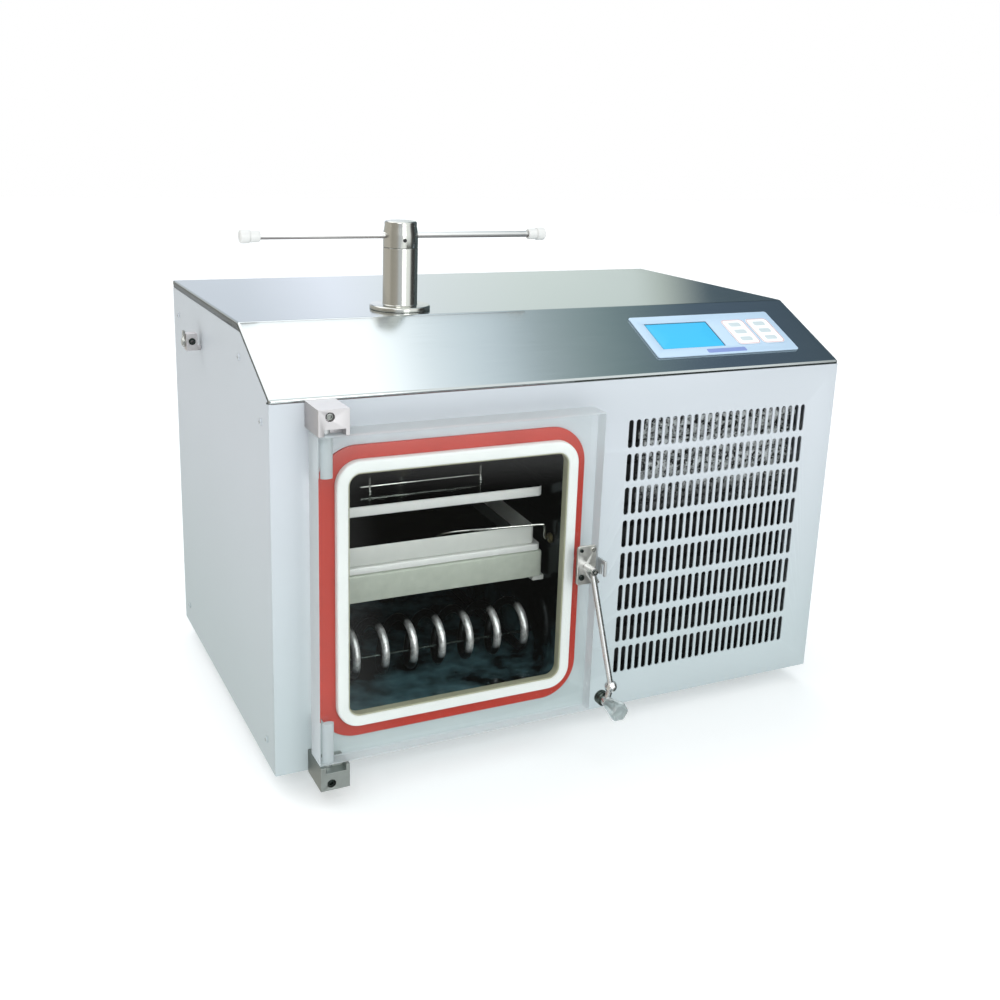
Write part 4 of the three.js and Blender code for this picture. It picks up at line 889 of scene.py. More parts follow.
class DRYER_OT_cover(Maker, Operator):
    """Top cover folded from one sheet over the slope and the sides"""

    bl_idname = "dryer.cover"
    bl_label = "Top cover"

    def execute(self, context):
        s = self.settings.casing
        width, depth, top = span("top_cover")[1]
        lip = 4.0
        line = [[0, FRONT_HEIGHT - lip], [0, FRONT_HEIGHT], [SLOPE_RUN, top], [depth, top], [depth,
            top - s.rear_lip]]
        profile = rounded_line(line, [0, s.fold, s.top_fold, s.fold, 0], 8)
        # Points along the long flats keep the sheet's faces even
        steps = np.concatenate([[0], np.cumsum(np.linalg.norm(np.diff(profile, axis=0), axis=1))])
        along = np.unique(np.concatenate([steps, np.linspace(0, steps[-1], 60)]))
        profile = np.stack([np.interp(along, steps, profile[:, i]) for i in (0, 1)], -1)
        tangent = unit(np.gradient(profile, axis=0))
        inward = np.stack([tangent[:, 1], -tangent[:, 0]], -1)
        turn = np.linspace(0, math.pi / 2, 7)
        across = np.concatenate([s.fold * (1 - np.cos(turn)), [width / 2]])
        drop = np.concatenate([s.fold * (1 - np.sin(turn)), [0]])
        half = np.stack([across, drop], -1)
        mirrored = np.stack([width - across[-2::-1], drop[-2::-1]], -1)
        rail = np.concatenate([half, mirrored])
        rows = profile[None] + rail[:, 1, None, None] * inward[None]
        rows = np.concatenate([np.broadcast_to(rail[:, :1, None], rows.shape[:2] + (1,)), rows],
            -1)
        skirt = rows[[0, -1]].copy()
        foot = np.minimum(top - s.skirt, skirt[..., 2] - 0.3)
        skirt[..., 2] = np.where(profile[:, 0] > 2, foot, skirt[..., 2] - 0.2)
        rows = np.concatenate([skirt[:1], rows, skirt[1:]])
        count, breadth = rows.shape[:2]
        index = np.arange(count * breadth).reshape(count, breadth)
        quads = np.stack([index[:-1, :-1], index[:-1, 1:], index[1:, 1:], index[1:, :-1]],
            -1).reshape(-1, 4)
        shape = rows.reshape(-1, 3), quads.tolist()
        cover = piece("folded_cover", shape, "casing", "cover", ["top_cover"], 50)
        wall = cover.modifiers.new("sheet", "SOLIDIFY")
        wall.thickness = 1.8 * MM
        wall.offset = -1
        if sum(face.normal.z for face in cover.data.polygons) < 0:
            cover.data.flip_normals()
        # The side faces take the skirt's darker tone: painted shade
        two_toned(cover, "skirt", lambda normal, _: np.abs(normal[:, 0]) > 0.8)
        return {"FINISHED"}


class DRYER_OT_feet(Maker, Operator):
    """Four rubber feet"""

    bl_idname = "dryer.feet"
    bl_label = "Feet"

    def execute(self, context):
        for end in ("front", "rear"):
            for side in ("left", "right"):
                node = f"foot_{end}_{side}"
                low, high = span(node)
                radius = (high[0] - low[0]) / 2
                tall = high[2] - low[2]
                profile = [[0, 1.5], [5, 1.5], [5, 0], [radius - 2.5, 0], [radius - 1, tall * 0.2],
                    [radius, tall * 0.3], [radius, tall - 5], [radius - 1.2, tall - 4.2],
                    [radius - 1.2, tall - 3], [radius, tall - 2.2], [radius, tall], [0, tall]]
                place = [*centre(node)[:2], low[2]]
                shape = placed(turned(profile, 0.8), place)
                piece(f"rubber_{node}", shape, "casing", "rubber", [node])
        return {"FINISHED"}


# Chamber --------------------------------------------------------------------------


class DRYER_OT_chamber(Maker, Operator):
    """Chamber, its mouth flange, the flat gasket and the door seal"""

    bl_idname = "dryer.chamber"
    bl_label = "Chamber and seals"

    def execute(self, context):
        s = self.settings.chamber
        door = self.settings.door
        low, high = span("chamber")
        size = (high - low)[[0, 2]] - 2 * s.flange
        x, _, z = (low + high) / 2
        back, wall = high[1], 3.0
        # Profiles run from the back outside, round the rim and down inside; an inset
        # below zero stands outside the cavity
        tub = [[size.min() / 2 - 1, -back], [-wall, -back], [-wall, -4], [-s.flange, -4],
            [-s.flange, -low[1]], [0, -low[1]], [0, wall - back], [size.min() / 2 - 1,
            wall - back]]
        shape = stacked(size, s.corner, tub, [0, 3, 0, 0.5, 1, 1.5, 6, 0], 10)
        shape = placed(shape, [x, 0, z], RIGHT, UP)
        piece("chamber_tub", shape, "casing", "wall", ["chamber"])

        seal_low, seal_high = span("door_seal")
        front, rim, skirt = -seal_low[1], -low[1] + 0.3, 3.2
        section = [[0.2, front], [0.2, rim], [-s.flange - 0.3, rim], [-s.flange - 0.3, skirt],
            [-door.seal_width, skirt], [-door.seal_width, front]]
        shape = stacked(size, s.corner, section, [1.6, 0.2, 0.3, 0.4, 0.4, 2.4], 12, 5, True)
        shape = placed(shape, [x, 0, z], RIGHT, UP)
        piece("door_seal_ring", shape, "casing", "seal", ["door_seal"])
        # The inner lip's tone is painted shade
        inner_end = -seal_high[1] + 5.0
        section = [[0.3, front - 0.9], [0.3, inner_end], [1.6, inner_end], [1.6, front - 1.6]]
        shape = stacked(size, s.corner, section, [0.1, 0.4, 0.4, 0.8], 12, 4, True)
        shape = placed(shape, [x, 0, z], RIGHT, UP)
        piece("door_seal_lip", shape, "casing", "lip", ["door_seal"])

        flat_low, flat_high = span("front_gasket")
        outer = (flat_high - flat_low)[[0, 2]]
        inner = size + 2 * (s.flange + 0.3)
        ease, corner = 0.7, door.gasket_corner
        trims = np.array([2 * ease, 0.4, 0, 0])
        widths = np.concatenate([[inner[0]] * 2, outer[0] - trims])
        heights = np.concatenate([[inner[1]] * 2, outer[1] - trims])
        corners = np.concatenate([[s.corner + s.flange + 0.3] * 2, corner - trims / 2])
        face = -flat_low[1]
        levels = [-flat_high[1], face, face, face - 0.2, face - ease, -flat_high[1]]
        loops = rectangles(widths, heights, corners, 14)
        loops[2:, :, 0] += centre("front_gasket")[0] - x
        level = np.broadcast_to(np.array(levels)[:, None, None], loops.shape[:2] + (1,))
        shape = placed(skin(np.concatenate([loops, level], -1), True), [x, 0, z], RIGHT, UP)
        piece("flat_gasket", shape, "casing", "gasket", ["front_gasket"])
        wears("chamber_cradle", "paint")
        return {"FINISHED"}


class DRYER_OT_shelf(Maker, Operator):
    """Shelf, its rails, the tray's carrier and the tray"""

    bl_idname = "dryer.shelf"
    bl_label = "Shelf and tray"

    def execute(self, context):
        low, high = span("shelf")
        size = (high - low)[:2]
        tall, sheet = high[2] - low[2], 2.5
        inside = size.min() / 2 - 2
        line = [[inside, tall - sheet], [sheet, tall - sheet], [sheet, 0], [0, 0], [0, tall],
            [inside, tall]]
        shape = stacked(size, 4, line, [0, 2, 0.8, 0.8, 3.2, 0])
        piece("folded_shelf", placed(shape, [*centre("shelf")[:2], low[2]]), "casing",
            "shelf", ["shelf"])

        low, high = span("tray_carrier")
        size = (high - low)[:2]
        shape = slab(size, 7, high[2] - low[2], 0.8)
        piece("tray_carrier_plate", placed(shape, [*centre("tray_carrier")[:2], low[2]]), "casing",
            "carrier", ["tray_carrier"])

        low, high = span("tray")
        size = (high - low)[:2]
        tall, wall = high[2] - low[2], 1.5
        inside = size.min() / 2 - 2
        line = [[inside, 0], [0, 0], [0, tall], [wall, tall], [wall, wall], [inside, wall]]
        shape = stacked(size, 5, line, [0, 2.5, 0.7, 0.7, 1.5, 0])
        tray = piece("drying_tray", placed(shape, [*centre("tray")[:2], low[2]]), "casing",
            "folded", ["tray"])
        two_toned(tray, "mirror", lambda normal, _: normal[:, 2] > 0.8)
        for side in ("left", "right"):
            softened(f"shelf_rail_{side}", f"runner_{side}", "casing", "folded", 0.6)
        return {"FINISHED"}


class DRYER_OT_coil(Maker, Operator):
    """Cold coil and the rod that holds its turns apart"""

    bl_idname = "dryer.coil"
    bl_label = "Cold coil"

    def execute(self, context):
        s = self.settings.chamber
        low, high = span("cold_coil")
        radius = (high[2] - low[2]) / 2 - s.coil_tube
        axis_z = (low[2] + high[2]) / 2
        axis_y = low[1] + s.coil_tube + radius
        back = high[1]
        start = (low[0] + high[0] - s.coil_turns * s.coil_pitch) / 2
        angle = np.linspace(0, s.coil_turns * 2 * math.pi, int(s.coil_turns * 56))
        # Each turn steps along by the angle plus the lean times its cosine, so that the
        # tube stands nearly square in front and crosses over behind
        across = start + (angle + s.coil_lean * np.cos(angle)) / (2 * math.pi) * s.coil_pitch
        wound = np.stack([across, axis_y - radius * np.sin(angle),
            axis_z + radius * np.cos(angle)], -1)
        leg = np.linspace(back, axis_y, 12, endpoint=False)
        first = np.stack([0 * leg + across[0], leg, 0 * leg + axis_z + radius], -1)
        last = np.stack([0 * leg + across[-1], leg[::-1], 0 * leg + axis_z - radius], -1)
        path = np.concatenate([first, wound, last])
        shape = swept(path, s.coil_tube, 18, (1, 0, 0))
        piece("wound_cold_coil", shape, "casing", "coil", ["cold_coil"])
        low, high = span("coil_support")
        mid = (low + high) / 2
        bar = rod([low[0], mid[1], mid[2]], [high[0], mid[1], mid[2]], (high[2] - low[2]) / 2)
        piece("coil_rod", bar, "casing", "dark_steel", ["coil_support"])
        return {"FINISHED"}


class DRYER_OT_probe(Maker, Operator):
    """Temperature probe's sheath and its socket"""

    bl_idname = "dryer.probe"
    bl_label = "Temperature probe"

    def execute(self, context):
        low, high = span("probe_socket")
        wall = low[0] + 4
        y, z = centre("probe_socket")[1:]
        radius = 1.5
        top = span("probe_lead")[1][2] - radius
        route = [[wall - 4.3, y, z], [wall - 7.4, y, z + 0.6], [wall - 9.2, y - 0.8, z + 5],
            [wall - 8.8, y - 1, top - 5], [wall - 10.5, y - 0.8, top - 1], [wall - 15, y + 0.2,
            top], [wall - 40, y + 5, top - 0.8], [wall - 70, y + 11, top - 2.2], [wall - 100,
            y + 20, top - 4.5], [wall - 118, y + 29, top - 8.5], [wall - 128, y + 38, top - 16]]
        piece("probe_sheath", swept(through(route, 10), radius, 12, (0.2, 0.1, 1)), "casing",
            "polished", ["probe_lead"])
        outer = (high[2] - low[2]) / 2
        profile = [[0, -4], [outer - 1.5, -4], [outer - 1.5, -2.6], [outer, -2.6], [outer, -0.3],
            [outer - 2, -0.3], [outer - 2, 8], [0, 8]]
        shape = placed(turned(profile, 0.3, 24), [wall, y, z], BACK, UP)
        piece("probe_gland", shape, "casing", "bronze", ["probe_socket"])
        return {"FINISHED"}


# Press ----------------------------------------------------------------------------


def threaded(radius, pitch, depth, low, high, plain_low, plain_high, steps=32):
    """A screw: radius less the depth times a rounded wave of height / pitch less the share
    of a turn, so that the crest climbs one pitch each turn. The wave fades out at the
    plain ends."""
    levels = np.arange(low, high, pitch / 8)
    levels = np.append(levels, high)
    angle = np.linspace(0, 2 * math.pi, steps, endpoint=False)
    wave = 0.5 - 0.5 * np.cos(2 * math.pi * (levels[:, None] / pitch) - angle)
    fade = np.clip((levels - plain_low) / pitch, 0, 1) * np.clip((plain_high - levels) / pitch, 0,
        1)
    size = radius - depth * wave * fade[:, None]
    loops = np.stack([size * np.cos(angle), size * np.sin(angle), np.broadcast_to(levels[:, None],
        size.shape)], -1)
    return skin(loops)


class DRYER_OT_press(Maker, Operator):
    """Press column, turning head with its T-bar, screw, nut, plate and hanger"""

    bl_idname = "dryer.press"
    bl_label = "Stoppering press"

    def execute(self, context):
        s = self.settings.press
        turned_finish, bright = "turned", "polished"
        x, y = centre("press_column")[:2]
        low, high = span("press_column")
        foot, top = low[2], high[2]
        radius = (span("press_head")[1][0] - span("press_head")[0][0]) / 2
        flange = (high[0] - low[0]) / 2
        bore = 8.3
        profile = [[bore, foot], [flange, foot], [flange, foot + 5], [radius, foot + 5], [radius,
            top], [bore, top]]
        shape = turned(profile, [0, 0.6, 2.2, 1.2, 0.7, 0], 96, True, 5)
        piece("column_tube", placed(shape, [x, y, 0]), "casing", turned_finish,
            ["press_column"])

        low, high = span("press_head")
        base, top = low[2], high[2]
        shoulder = top - 9
        cap = radius - 1.5
        profile = [[0, base], [radius, base], [radius, shoulder - 6], [cap, shoulder + 3], [cap,
            top], [0, top]]
        radii = [0, 0.3, 6, 6, 2.2, 0]
        shape = placed(turned(profile, radii, 96), [x, y, 0])
        piece("turning_head", shape, "press_handle", turned_finish, ["press_head"])
        # A black socket on the head: painted shade, in place of a shaded hole
        socket = turned([[0, 0.6], [1.4, 0.6], [1.4, 0.9], [2.2, 0.9], [2.2, -3], [0, -3]], 0.1,
            24)
        out = unit(np.array([-0.117, -1.0, 0.0]))
        side = np.cross(UP, out)
        at = np.array([x, y, base + 9.0]) + out * (radius - 0.5)
        piece("head_socket_painted_shade", placed(socket, at, side, UP), "press_handle",
            "black")

        low, high = span("press_bar")
        bar_y, bar_z = centre("press_bar")[1:]
        bar_radius = (high[2] - low[2]) / 2
        piece("t_bar", rod([low[0], bar_y, bar_z], [high[0], bar_y, bar_z], bar_radius, 0.5, 32),
            "press_handle", "soft", ["press_bar"])
        for node, side in (("bar_cap_left", -1), ("bar_cap_right", 1)):
            low, high = span(node)
            length = high[0] - low[0]
            size = (high[2] - low[2]) / 2
            inner = bar_radius + 0.3
            profile = [[inner, 0], [size - 2, 0], [size - 1.2, 1], [size - 1,
                length / 2 - s.cap_seam], [size - 1.8, length / 2], [size,
                length / 2 + s.cap_seam], [size, length], [0, length], [0, length - 2], [inner,
                length - 2]]
            shape = turned(profile, [0.3, 0.8, 0.3, 0.1, 0.1, 0.5, 2.0, 0, 0, 0], 40, True)
            start = low[0] if side > 0 else high[0]
            up = UP if side > 0 else -UP
            piece(f"white_{node}", placed(shape, [start, bar_y, bar_z], BACK, up), "press_handle",
                "nylon", [node])

        low, high = span("press_screw")
        size = (high[0] - low[0]) / 2
        roof = span("roof_gland")[0][2]
        shape = threaded(size, s.thread, s.thread_depth, low[2], high[2], low[2] + 4, roof - 6)
        piece("press_spindle", placed(shape, [x, y, 0]), "press_handle",
            turned_finish, ["press_screw"])

        low, high = span("press_plate")
        edge = [[1.0, low[2]], [0, low[2] + 1.0], [0, high[2] - 1.0], [1.0, high[2]]]
        hole = [[9.0, high[2]], [9.0, low[2]]]
        shape = bored_slab(low[:2], high[:2], 6.0, [x, y], edge, hole, 0.3, True)
        platen = piece("platen", shape, "press_platen", "carrier", ["press_plate"])
        two_toned(platen, "mirror", lambda normal, _: np.abs(normal[:, 2]) > 0.8)

        low, high = span("press_nut")
        size = (high[0] - low[0]) / 2
        base = low[2]
        profile = [[8.3, base], [size, base], [size, base + 5], [size - 7, base + 5], [size - 7,
            high[2]], [8.3, high[2]]]
        piece("platen_nut", placed(turned(profile, 0.6, 40, True), [x, y, 0]), "press_platen",
            "bronze", ["press_nut"])
        low, high = span("roof_gland")
        size, base = (high[0] - low[0]) / 2, low[2]
        profile = [[8.3, base], [size, base], [size, base + 5], [size - 10, base + 5], [size - 10,
            high[2]], [8.3, high[2]]]
        piece("spindle_gland", placed(turned(profile, 0.6, 40, True), [x, y, 0]), "casing",
            "bronze", ["roof_gland"])

        low, high = span("press_hanger")
        y_post, z_rod = centre("press_hanger")[1], low[2] + 6.3
        inset = 11.0
        parts = [rod([low[0], y_post, z_rod], [high[0], y_post, z_rod], 1.5, 0.5)]
        for post in (low[0] + inset, high[0] - inset):
            stem = [[0, 0], [3.4, 0], [3.4, 2.2], [2.0, 2.2], [2.0, high[2] - low[2]], [0,
                high[2] - low[2]]]
            parts.append(placed(turned(stem, 0.4, 20), [post, y_post, low[2]]))
        piece("platen_hanger", together(*parts), "press_platen", bright,
            ["press_hanger"])
        return {"FINISHED"}


# Door and latch --------------------------------------------------------------------


class DRYER_OT_door(Maker, Operator):
    """Clear door on its hinge blocks, pins and screws"""

    bl_idname = "dryer.door"
    bl_label = "Door and hinges"

    def execute(self, context):
        s = self.settings.door
        low, high = span("door_plate")
        pivot = centre("hinge_pin_top")[:2]
        reach = high[2] - span("hinge_pin_top")[0][2] + 0.3
        bore = 6.3
        edge = s.edge
        body = [[edge, low[2]], [0, low[2] + edge], [0, high[2] - edge], [edge, high[2]]]
        shaft = [[0.0, low[2] + reach], [bore, low[2] + reach], [bore, low[2]], [bore, high[2]],
            [bore, high[2] - reach], [0.0, high[2] - reach]]
        shape = bored_slab(low[:2], high[:2], edge, pivot, body, shaft, 0.5)
        door = piece("clear_door", shape, "door", "acrylic", ["door_plate"], 25)
        # The four sides and the bores are dull, and the faces are polished
        def sawn(normal, middle):
            from_pin = np.hypot(*(middle[:, :2] - pivot).T)
            return (np.abs(normal[:, 1]) < 0.8) | (from_pin < bore + 0.6)

        two_toned(door, "sawn", sawn)
        # The lower block takes a darker finish: painted shade below the door
        for end, block, head_finish in (("top", "ground", "screw"), ("bottom", "painted_shade_block",
                "dark_steel")):
            softened(f"hinge_block_{end}", f"hinge_bracket_{end}", "casing", block,
                0.7)
            low, high = span(f"hinge_pin_{end}")
            x, y = centre(f"hinge_pin_{end}")[:2]
            pin = rod([x, y, low[2]], [x, y, high[2]], 6.0, 0.8, 32)
            piece(f"pivot_pin_{end}", pin, "casing", "satin", [f"hinge_pin_{end}"])
            low, high = span(f"hinge_screw_{end}")
            x, _, z = centre(f"hinge_screw_{end}")
            head = (high[0] - low[0]) / 2 - 1.0
            deep = 5.0
            profile = [[0, 2.5], [2.3, 2.5], [2.3, deep], [head, deep], [head, 0], [2.5, 0], [2.5,
                -(high[1] - low[1]) + deep], [0, -(high[1] - low[1]) + deep]]
            shape = turned(profile, [0, 0, 0.2, 0.8, 0.2, 0, 0.4, 0], 32)
            piece(f"bracket_screw_{end}", placed(shape, [x, low[1] + deep, z], RIGHT, UP),
                "casing", head_finish, [f"hinge_screw_{end}"])
        return {"FINISHED"}


class DRYER_OT_latch(Maker, Operator):
    """Latch base, cam, lever with its ball, crank pin, clear knob and keeper"""

    bl_idname = "dryer.latch"
    bl_label = "Latch"

    def execute(self, context):
        bright, dark = "polished", "dark_steel"
        # The plate's light and dark patches are painted reflection
        softened("latch_base", "latch_plate", "door", "plate", 0.8)
        softened("latch_cam", "latch_hook", "latch", "chrome", 0.7)
        softened("latch_keeper", "keeper_bracket", "casing", "satin", 0.7)
        axis_x = centre("latch_base")[0]
        axis_z = centre("latch_base")[2] - 2
        face = span("latch_base")[1][1] - 3
        head = np.array([[0, 0.9], [1.3, 0.9], [1.3, 1.7], [3.0, 1.7], [3.0, -2], [0, -2]])
        for name, spots, finish in (("dark", ((-7.5, 20, 0.7), (-6, -12, 1.15)), dark), ("bright",
                ((7, 20, 1.0),), bright)):
            screws = [placed(turned(head * [[size, 1]], [0, 0, 0, 0.8, 0, 0], 24), [axis_x + dx,
                face, axis_z + dz], RIGHT, UP) for dx, dz, size in spots]
            piece(f"latch_{name}_screws", together(*screws), "door", finish)
        front = span("latch_cam")[0][1]
        # A dark disc on the stud's end: painted shade, in place of a shaded hollow
        plug = [[0, 0.8], [1.6, 0.8], [1.6, 1.3], [2.9, 1.3], [2.9, 0.2], [0, 0.2]]
        shape = placed(turned(plug, [0, 0, 0.1, 0.4, 0.1, 0], 28), [axis_x, front, axis_z], RIGHT,
            UP)
        piece("latch_stud_painted_shade", shape, "door", dark)

        lever_y = centre("latch_lever")[1]
        knob_x, _, knob_z = centre("latch_knob")
        ball = np.array([knob_x + 5, lever_y, knob_z + 18])
        axis = np.array([axis_x, lever_y, axis_z])
        along = unit(ball - axis)
        share = np.linspace(0, 1, 24)[:, None]
        path = axis + along * 4.6 + (ball - axis - along * 4.6) * share
        arm = swept(path, 3.4, 20, (0, 1, 0))
        turn = np.linspace(0, math.pi, 17)
        knuckle = np.stack([7.2 * np.sin(turn), -7.2 * np.cos(turn)], -1)
        knuckle = placed(turned(knuckle, 0, 32, ease=1), ball)
        eye_axis = np.array([knob_x, lever_y, knob_z])
        neck = rod(ball, eye_axis, 3.8, 0.3, 20)
        eye = turned([[3, -4], [6, -4], [6, 4], [3, 4]], 0.7, 32, True)
        eye = placed(eye, eye_axis, RIGHT, UP)
        piece("lever_arm", together(arm, knuckle, neck, eye), "latch", "chrome",
            ["latch_lever"])

        low, high = span("crank_pin")
        outer = (high[0] - low[0]) / 2
        profile = [[0, 0], [outer, 0], [outer, 2.4], [outer - 1.3, 2.9], [outer - 1.3, 3.5],
            [outer, 4.0], [outer, 5.6], [outer - 1.3, 6.1], [outer - 1.3, 6.7], [outer, 7.2],
            [outer, 9], [2.7, 9], [2.7, high[1] - low[1]], [0, high[1] - low[1]]]
        shape = turned(profile, [0, 0.8] + [0.15] * 8 + [0.8, 0.2, 0.4, 0], 40)
        piece("grooved_collar", placed(shape, [knob_x, high[1], knob_z], RIGHT, UP), "latch",
            "collar", ["crank_pin"])

        low, high = span("latch_knob")
        length = high[1] - low[1]
        size = (high[0] - low[0]) / 2
        profile = [[3.0, 0], [size * 0.62, 0], [size * 0.66, 5], [size * 0.86, 15], [size,
            length - 7], [size, length - 2.5], [size * 0.8, length], [0, length], [0,
            length - 1.8], [3.0, length - 1.8]]
        radii = [0.2, 1.2, 4, 6, 4, 1.5, 1.5, 0, 0, 0.5]
        # Six broad flutes round the knob, for the fingers
        points, faces = turned(profile, radii, 96, True, 6)
        angle = np.arctan2(points[:, 1], points[:, 0])
        out = np.hypot(points[:, 0], points[:, 1])
        flute = np.where(out > 4, 0.1 * out * (np.cos(6 * angle) - 1) / 2, 0)
        points = points.copy()
        points[:, :2] *= (1 + flute / np.maximum(out, 1))[:, None]
        piece("clear_knob", placed((points, faces), [knob_x, high[1], knob_z], RIGHT, UP), "knob",
            "milky", ["latch_knob"])
        return {"FINISHED"}


# Console --------------------------------------------------------------------------


def on_slope(shape, u, v, lift):
    """A shape laid on the sloping console: u to the right of the panel's left edge, v up
    the slope from the front edge, and lift off the slope's face."""
    angle = math.atan2(span("top_cover")[1][2] - FRONT_HEIGHT, SLOPE_RUN)
    up = np.array([0, math.cos(angle), math.sin(angle)])
    out = np.cross(RIGHT, up)
    left = span("control_panel")[0][0]
    origin = np.array([left, 0, FRONT_HEIGHT]) + RIGHT * u + up * v + out * lift
    return placed(shape, origin, RIGHT, up)


class DRYER_OT_console(Maker, Operator):
    """Console panel with its display, keypads and printed marks"""

    bl_idname = "dryer.console"
    bl_label = "Console"

    def execute(self, context):
        low, high = span("control_panel")
        wide = high[0] - low[0]
        tall, rise = 80.0, 25.5
        border, key_step = 14.5, 14.5
        mid = rise + tall / 2
        display_low, display_high = span("display")
        screen = display_high[0] - display_low[0]
        screen_tall = 52.0
        screen_u = (display_low[0] + display_high[0]) / 2 - low[0]
        screen_v = rise + border + screen_tall / 2
        edge = rectangles(wide, tall, 3, 5)[0]
        window = rectangles(screen - 1.0, screen_tall - 1.0, 1.2, 4)[0]
        window = window + [screen_u - wide / 2, screen_v - mid]
        film = punched([edge, window], 1.6, 0.35)
        piece("console_film", on_slope(film, wide / 2, mid, 0.3), "casing", "film",
            ["control_panel"])
        shape = on_slope(slab((screen, screen_tall), 1, 3, 0.2), screen_u, screen_v, -2.2)
        piece("lit_screen", shape, "casing", "screen", ["display"])
        # A dark bezel step between the film and the screen
        rim = [[0, 0.4], [0.9, 0.4], [0.9, 1.1], [0, 1.1]]
        shape = stacked((screen - 1.0, screen_tall - 1.0), 1.2, rim, 0.1, 4, 2, True)
        piece("screen_bezel", on_slope(shape, screen_u, screen_v, 0), "casing", "bezel")
        for name in ("keypad_left", "keypad_right"):
            pad_low, pad_high = span(name)
            pad = pad_high[0] - pad_low[0]
            pad_tall = 50.0
            u = (pad_low[0] + pad_high[0]) / 2 - low[0]
            v = rise + border + pad_tall / 2
            plate = on_slope(slab((pad, pad_tall), 6, 0.8, 0.3), u, v, 2.2)
            piece(f"{name}_film", plate, "casing", "key", [name])
            line = [[0.0, 0], [0.9, 0], [0.9, 0.12], [0.0, 0.12]]
            ring = stacked((pad - 1.2, pad_tall - 1.2), 5.4, line, 0.02, 6, 1, True)
            piece(f"{name}_outline", on_slope(ring, u, v, 2.98), "casing",
                "key_line")
            marks = [on_slope(slab((pad * 0.5, 8.0), 2.5, 0.2, 0.08, 4), u, v + row * key_step,
                2.96) for row in (-1, 0, 1)]
            piece(f"{name}_marks", together(*marks), "casing", "key_mark")
        strip = slab((57, 7.5), 2, 0.15, 0.05, 4)
        piece("lavender_strip", on_slope(strip, 101.5, rise + 6.6, 1.86), "casing",
            "strip")
        return {"FINISHED"}


# Refrigeration, services and screws --------------------------------------------------


class DRYER_OT_services(Maker, Operator):
    """Cooler, fan and compressor finishes, rear port, mains inlet and air valve"""

    bl_idname = "dryer.services"
    bl_label = "Cooling and services"

    def execute(self, context):
        for node, key in (("cooler_core", "fins"), ("fan_shroud", "black"), ("fan_motor",
                "enamel"), ("fan_rotor", "black"), ("compressor", "enamel")):
            wears(node, key)
        low, high = span("vacuum_port")
        x, _, z = centre("vacuum_port")
        start, end = low[1], high[1]
        flange = (high[0] - low[0]) / 2
        profile = [[11, start], [14, start], [14, end - 9], [flange, end - 4], [flange, end], [13,
            end], [13, end - 3], [11, end - 3]]
        shape = turned(profile, [0.3, 0.5, 2, 0.5, 0.6, 0.2, 0.1, 0.3], 48, True)
        piece("rear_vacuum_port", placed(shape, [x, 0, z], UP, RIGHT), "casing",
            "turned", ["vacuum_port"])
        softened("power_inlet", "mains_inlet", "casing", "black", 0.5)
        low, high = span("power_inlet")
        x, _, z = centre("power_inlet")
        depth = span("rear_panel")[1][1]
        pins = [placed(slab((2.2, 5.6), 0.4, 12, 0.4, 3), [x + dx, depth - 14, z + dz], UP,
            RIGHT) for dx, dz in ((-7, -1.5), (7, -1.5), (0, 2.5))]
        piece("mains_pins", together(*pins), "casing", "polished")

        softened("air_valve", "air_valve_body", "casing", "ground", 0.8)
        softened("valve_lever", "air_valve_lever", "valve_handle", "polished", 0.7)
        low, high = span("air_valve")
        x, z = low[0] + 6.5, low[2] + 12.2
        mouth = [[1.9, -2], [4.0, -2], [4.0, 1.4], [3.2, 2.2], [1.9, 2.2]]
        shape = placed(turned(mouth, 0.2, 28, True), [x, low[1], z], RIGHT, UP)
        piece("air_valve_mouth", shape, "casing", "dark_steel")
        return {"FINISHED"}


class DRYER_OT_screws(Maker, Operator):
    """Pan-head screws that hold the casing's panels"""

    bl_idname = "dryer.screws"
    bl_label = "Panel screws"

    def execute(self, context):
        radius = 3.9
        angle = np.linspace(0, math.pi / 2, 6)
        dome = np.stack([radius * np.cos(angle), 0.6 + 1.5 * np.sin(angle)], -1)
        head = turned(np.concatenate([[[0, 0], [radius, 0]], dome]), 0, 28, ease=1)
        cross = [placed(slab((4.2, 0.9), 0.3, 0.3, 0.1, 3), [0, 0, 1.85], [c, q, 0], [-q, c,
            0]) for c, q in ((1, 0), (0, 1))]
        width, depth, _ = span("top_cover")[1]
        left = [[0, 113, 435], [0, 29, 385], [0, 31, 29], [0, 425, 430], [0, 425, 29]]
        right = [[width, y, z] for _, y, z in left]
        rear = [[x, depth, z] for x in (22, width / 2, width - 22) for z in (29, 440)]
        for name, places, axes in (("left_screws", left, (-BACK, UP)), ("right_screws", right,
                (BACK, UP)), ("rear_screws", rear, (-RIGHT, UP))):
            heads = [placed(head, place, *axes) for place in places]
            piece(name, together(*heads), "casing", "paint")
            slots = [placed(bar, place, *axes) for place in places for bar in cross]
            piece(f"{name}_recess", together(*slots), "casing", "screw")
        return {"FINISHED"}


# Stage ----------------------------------------------------------------------------


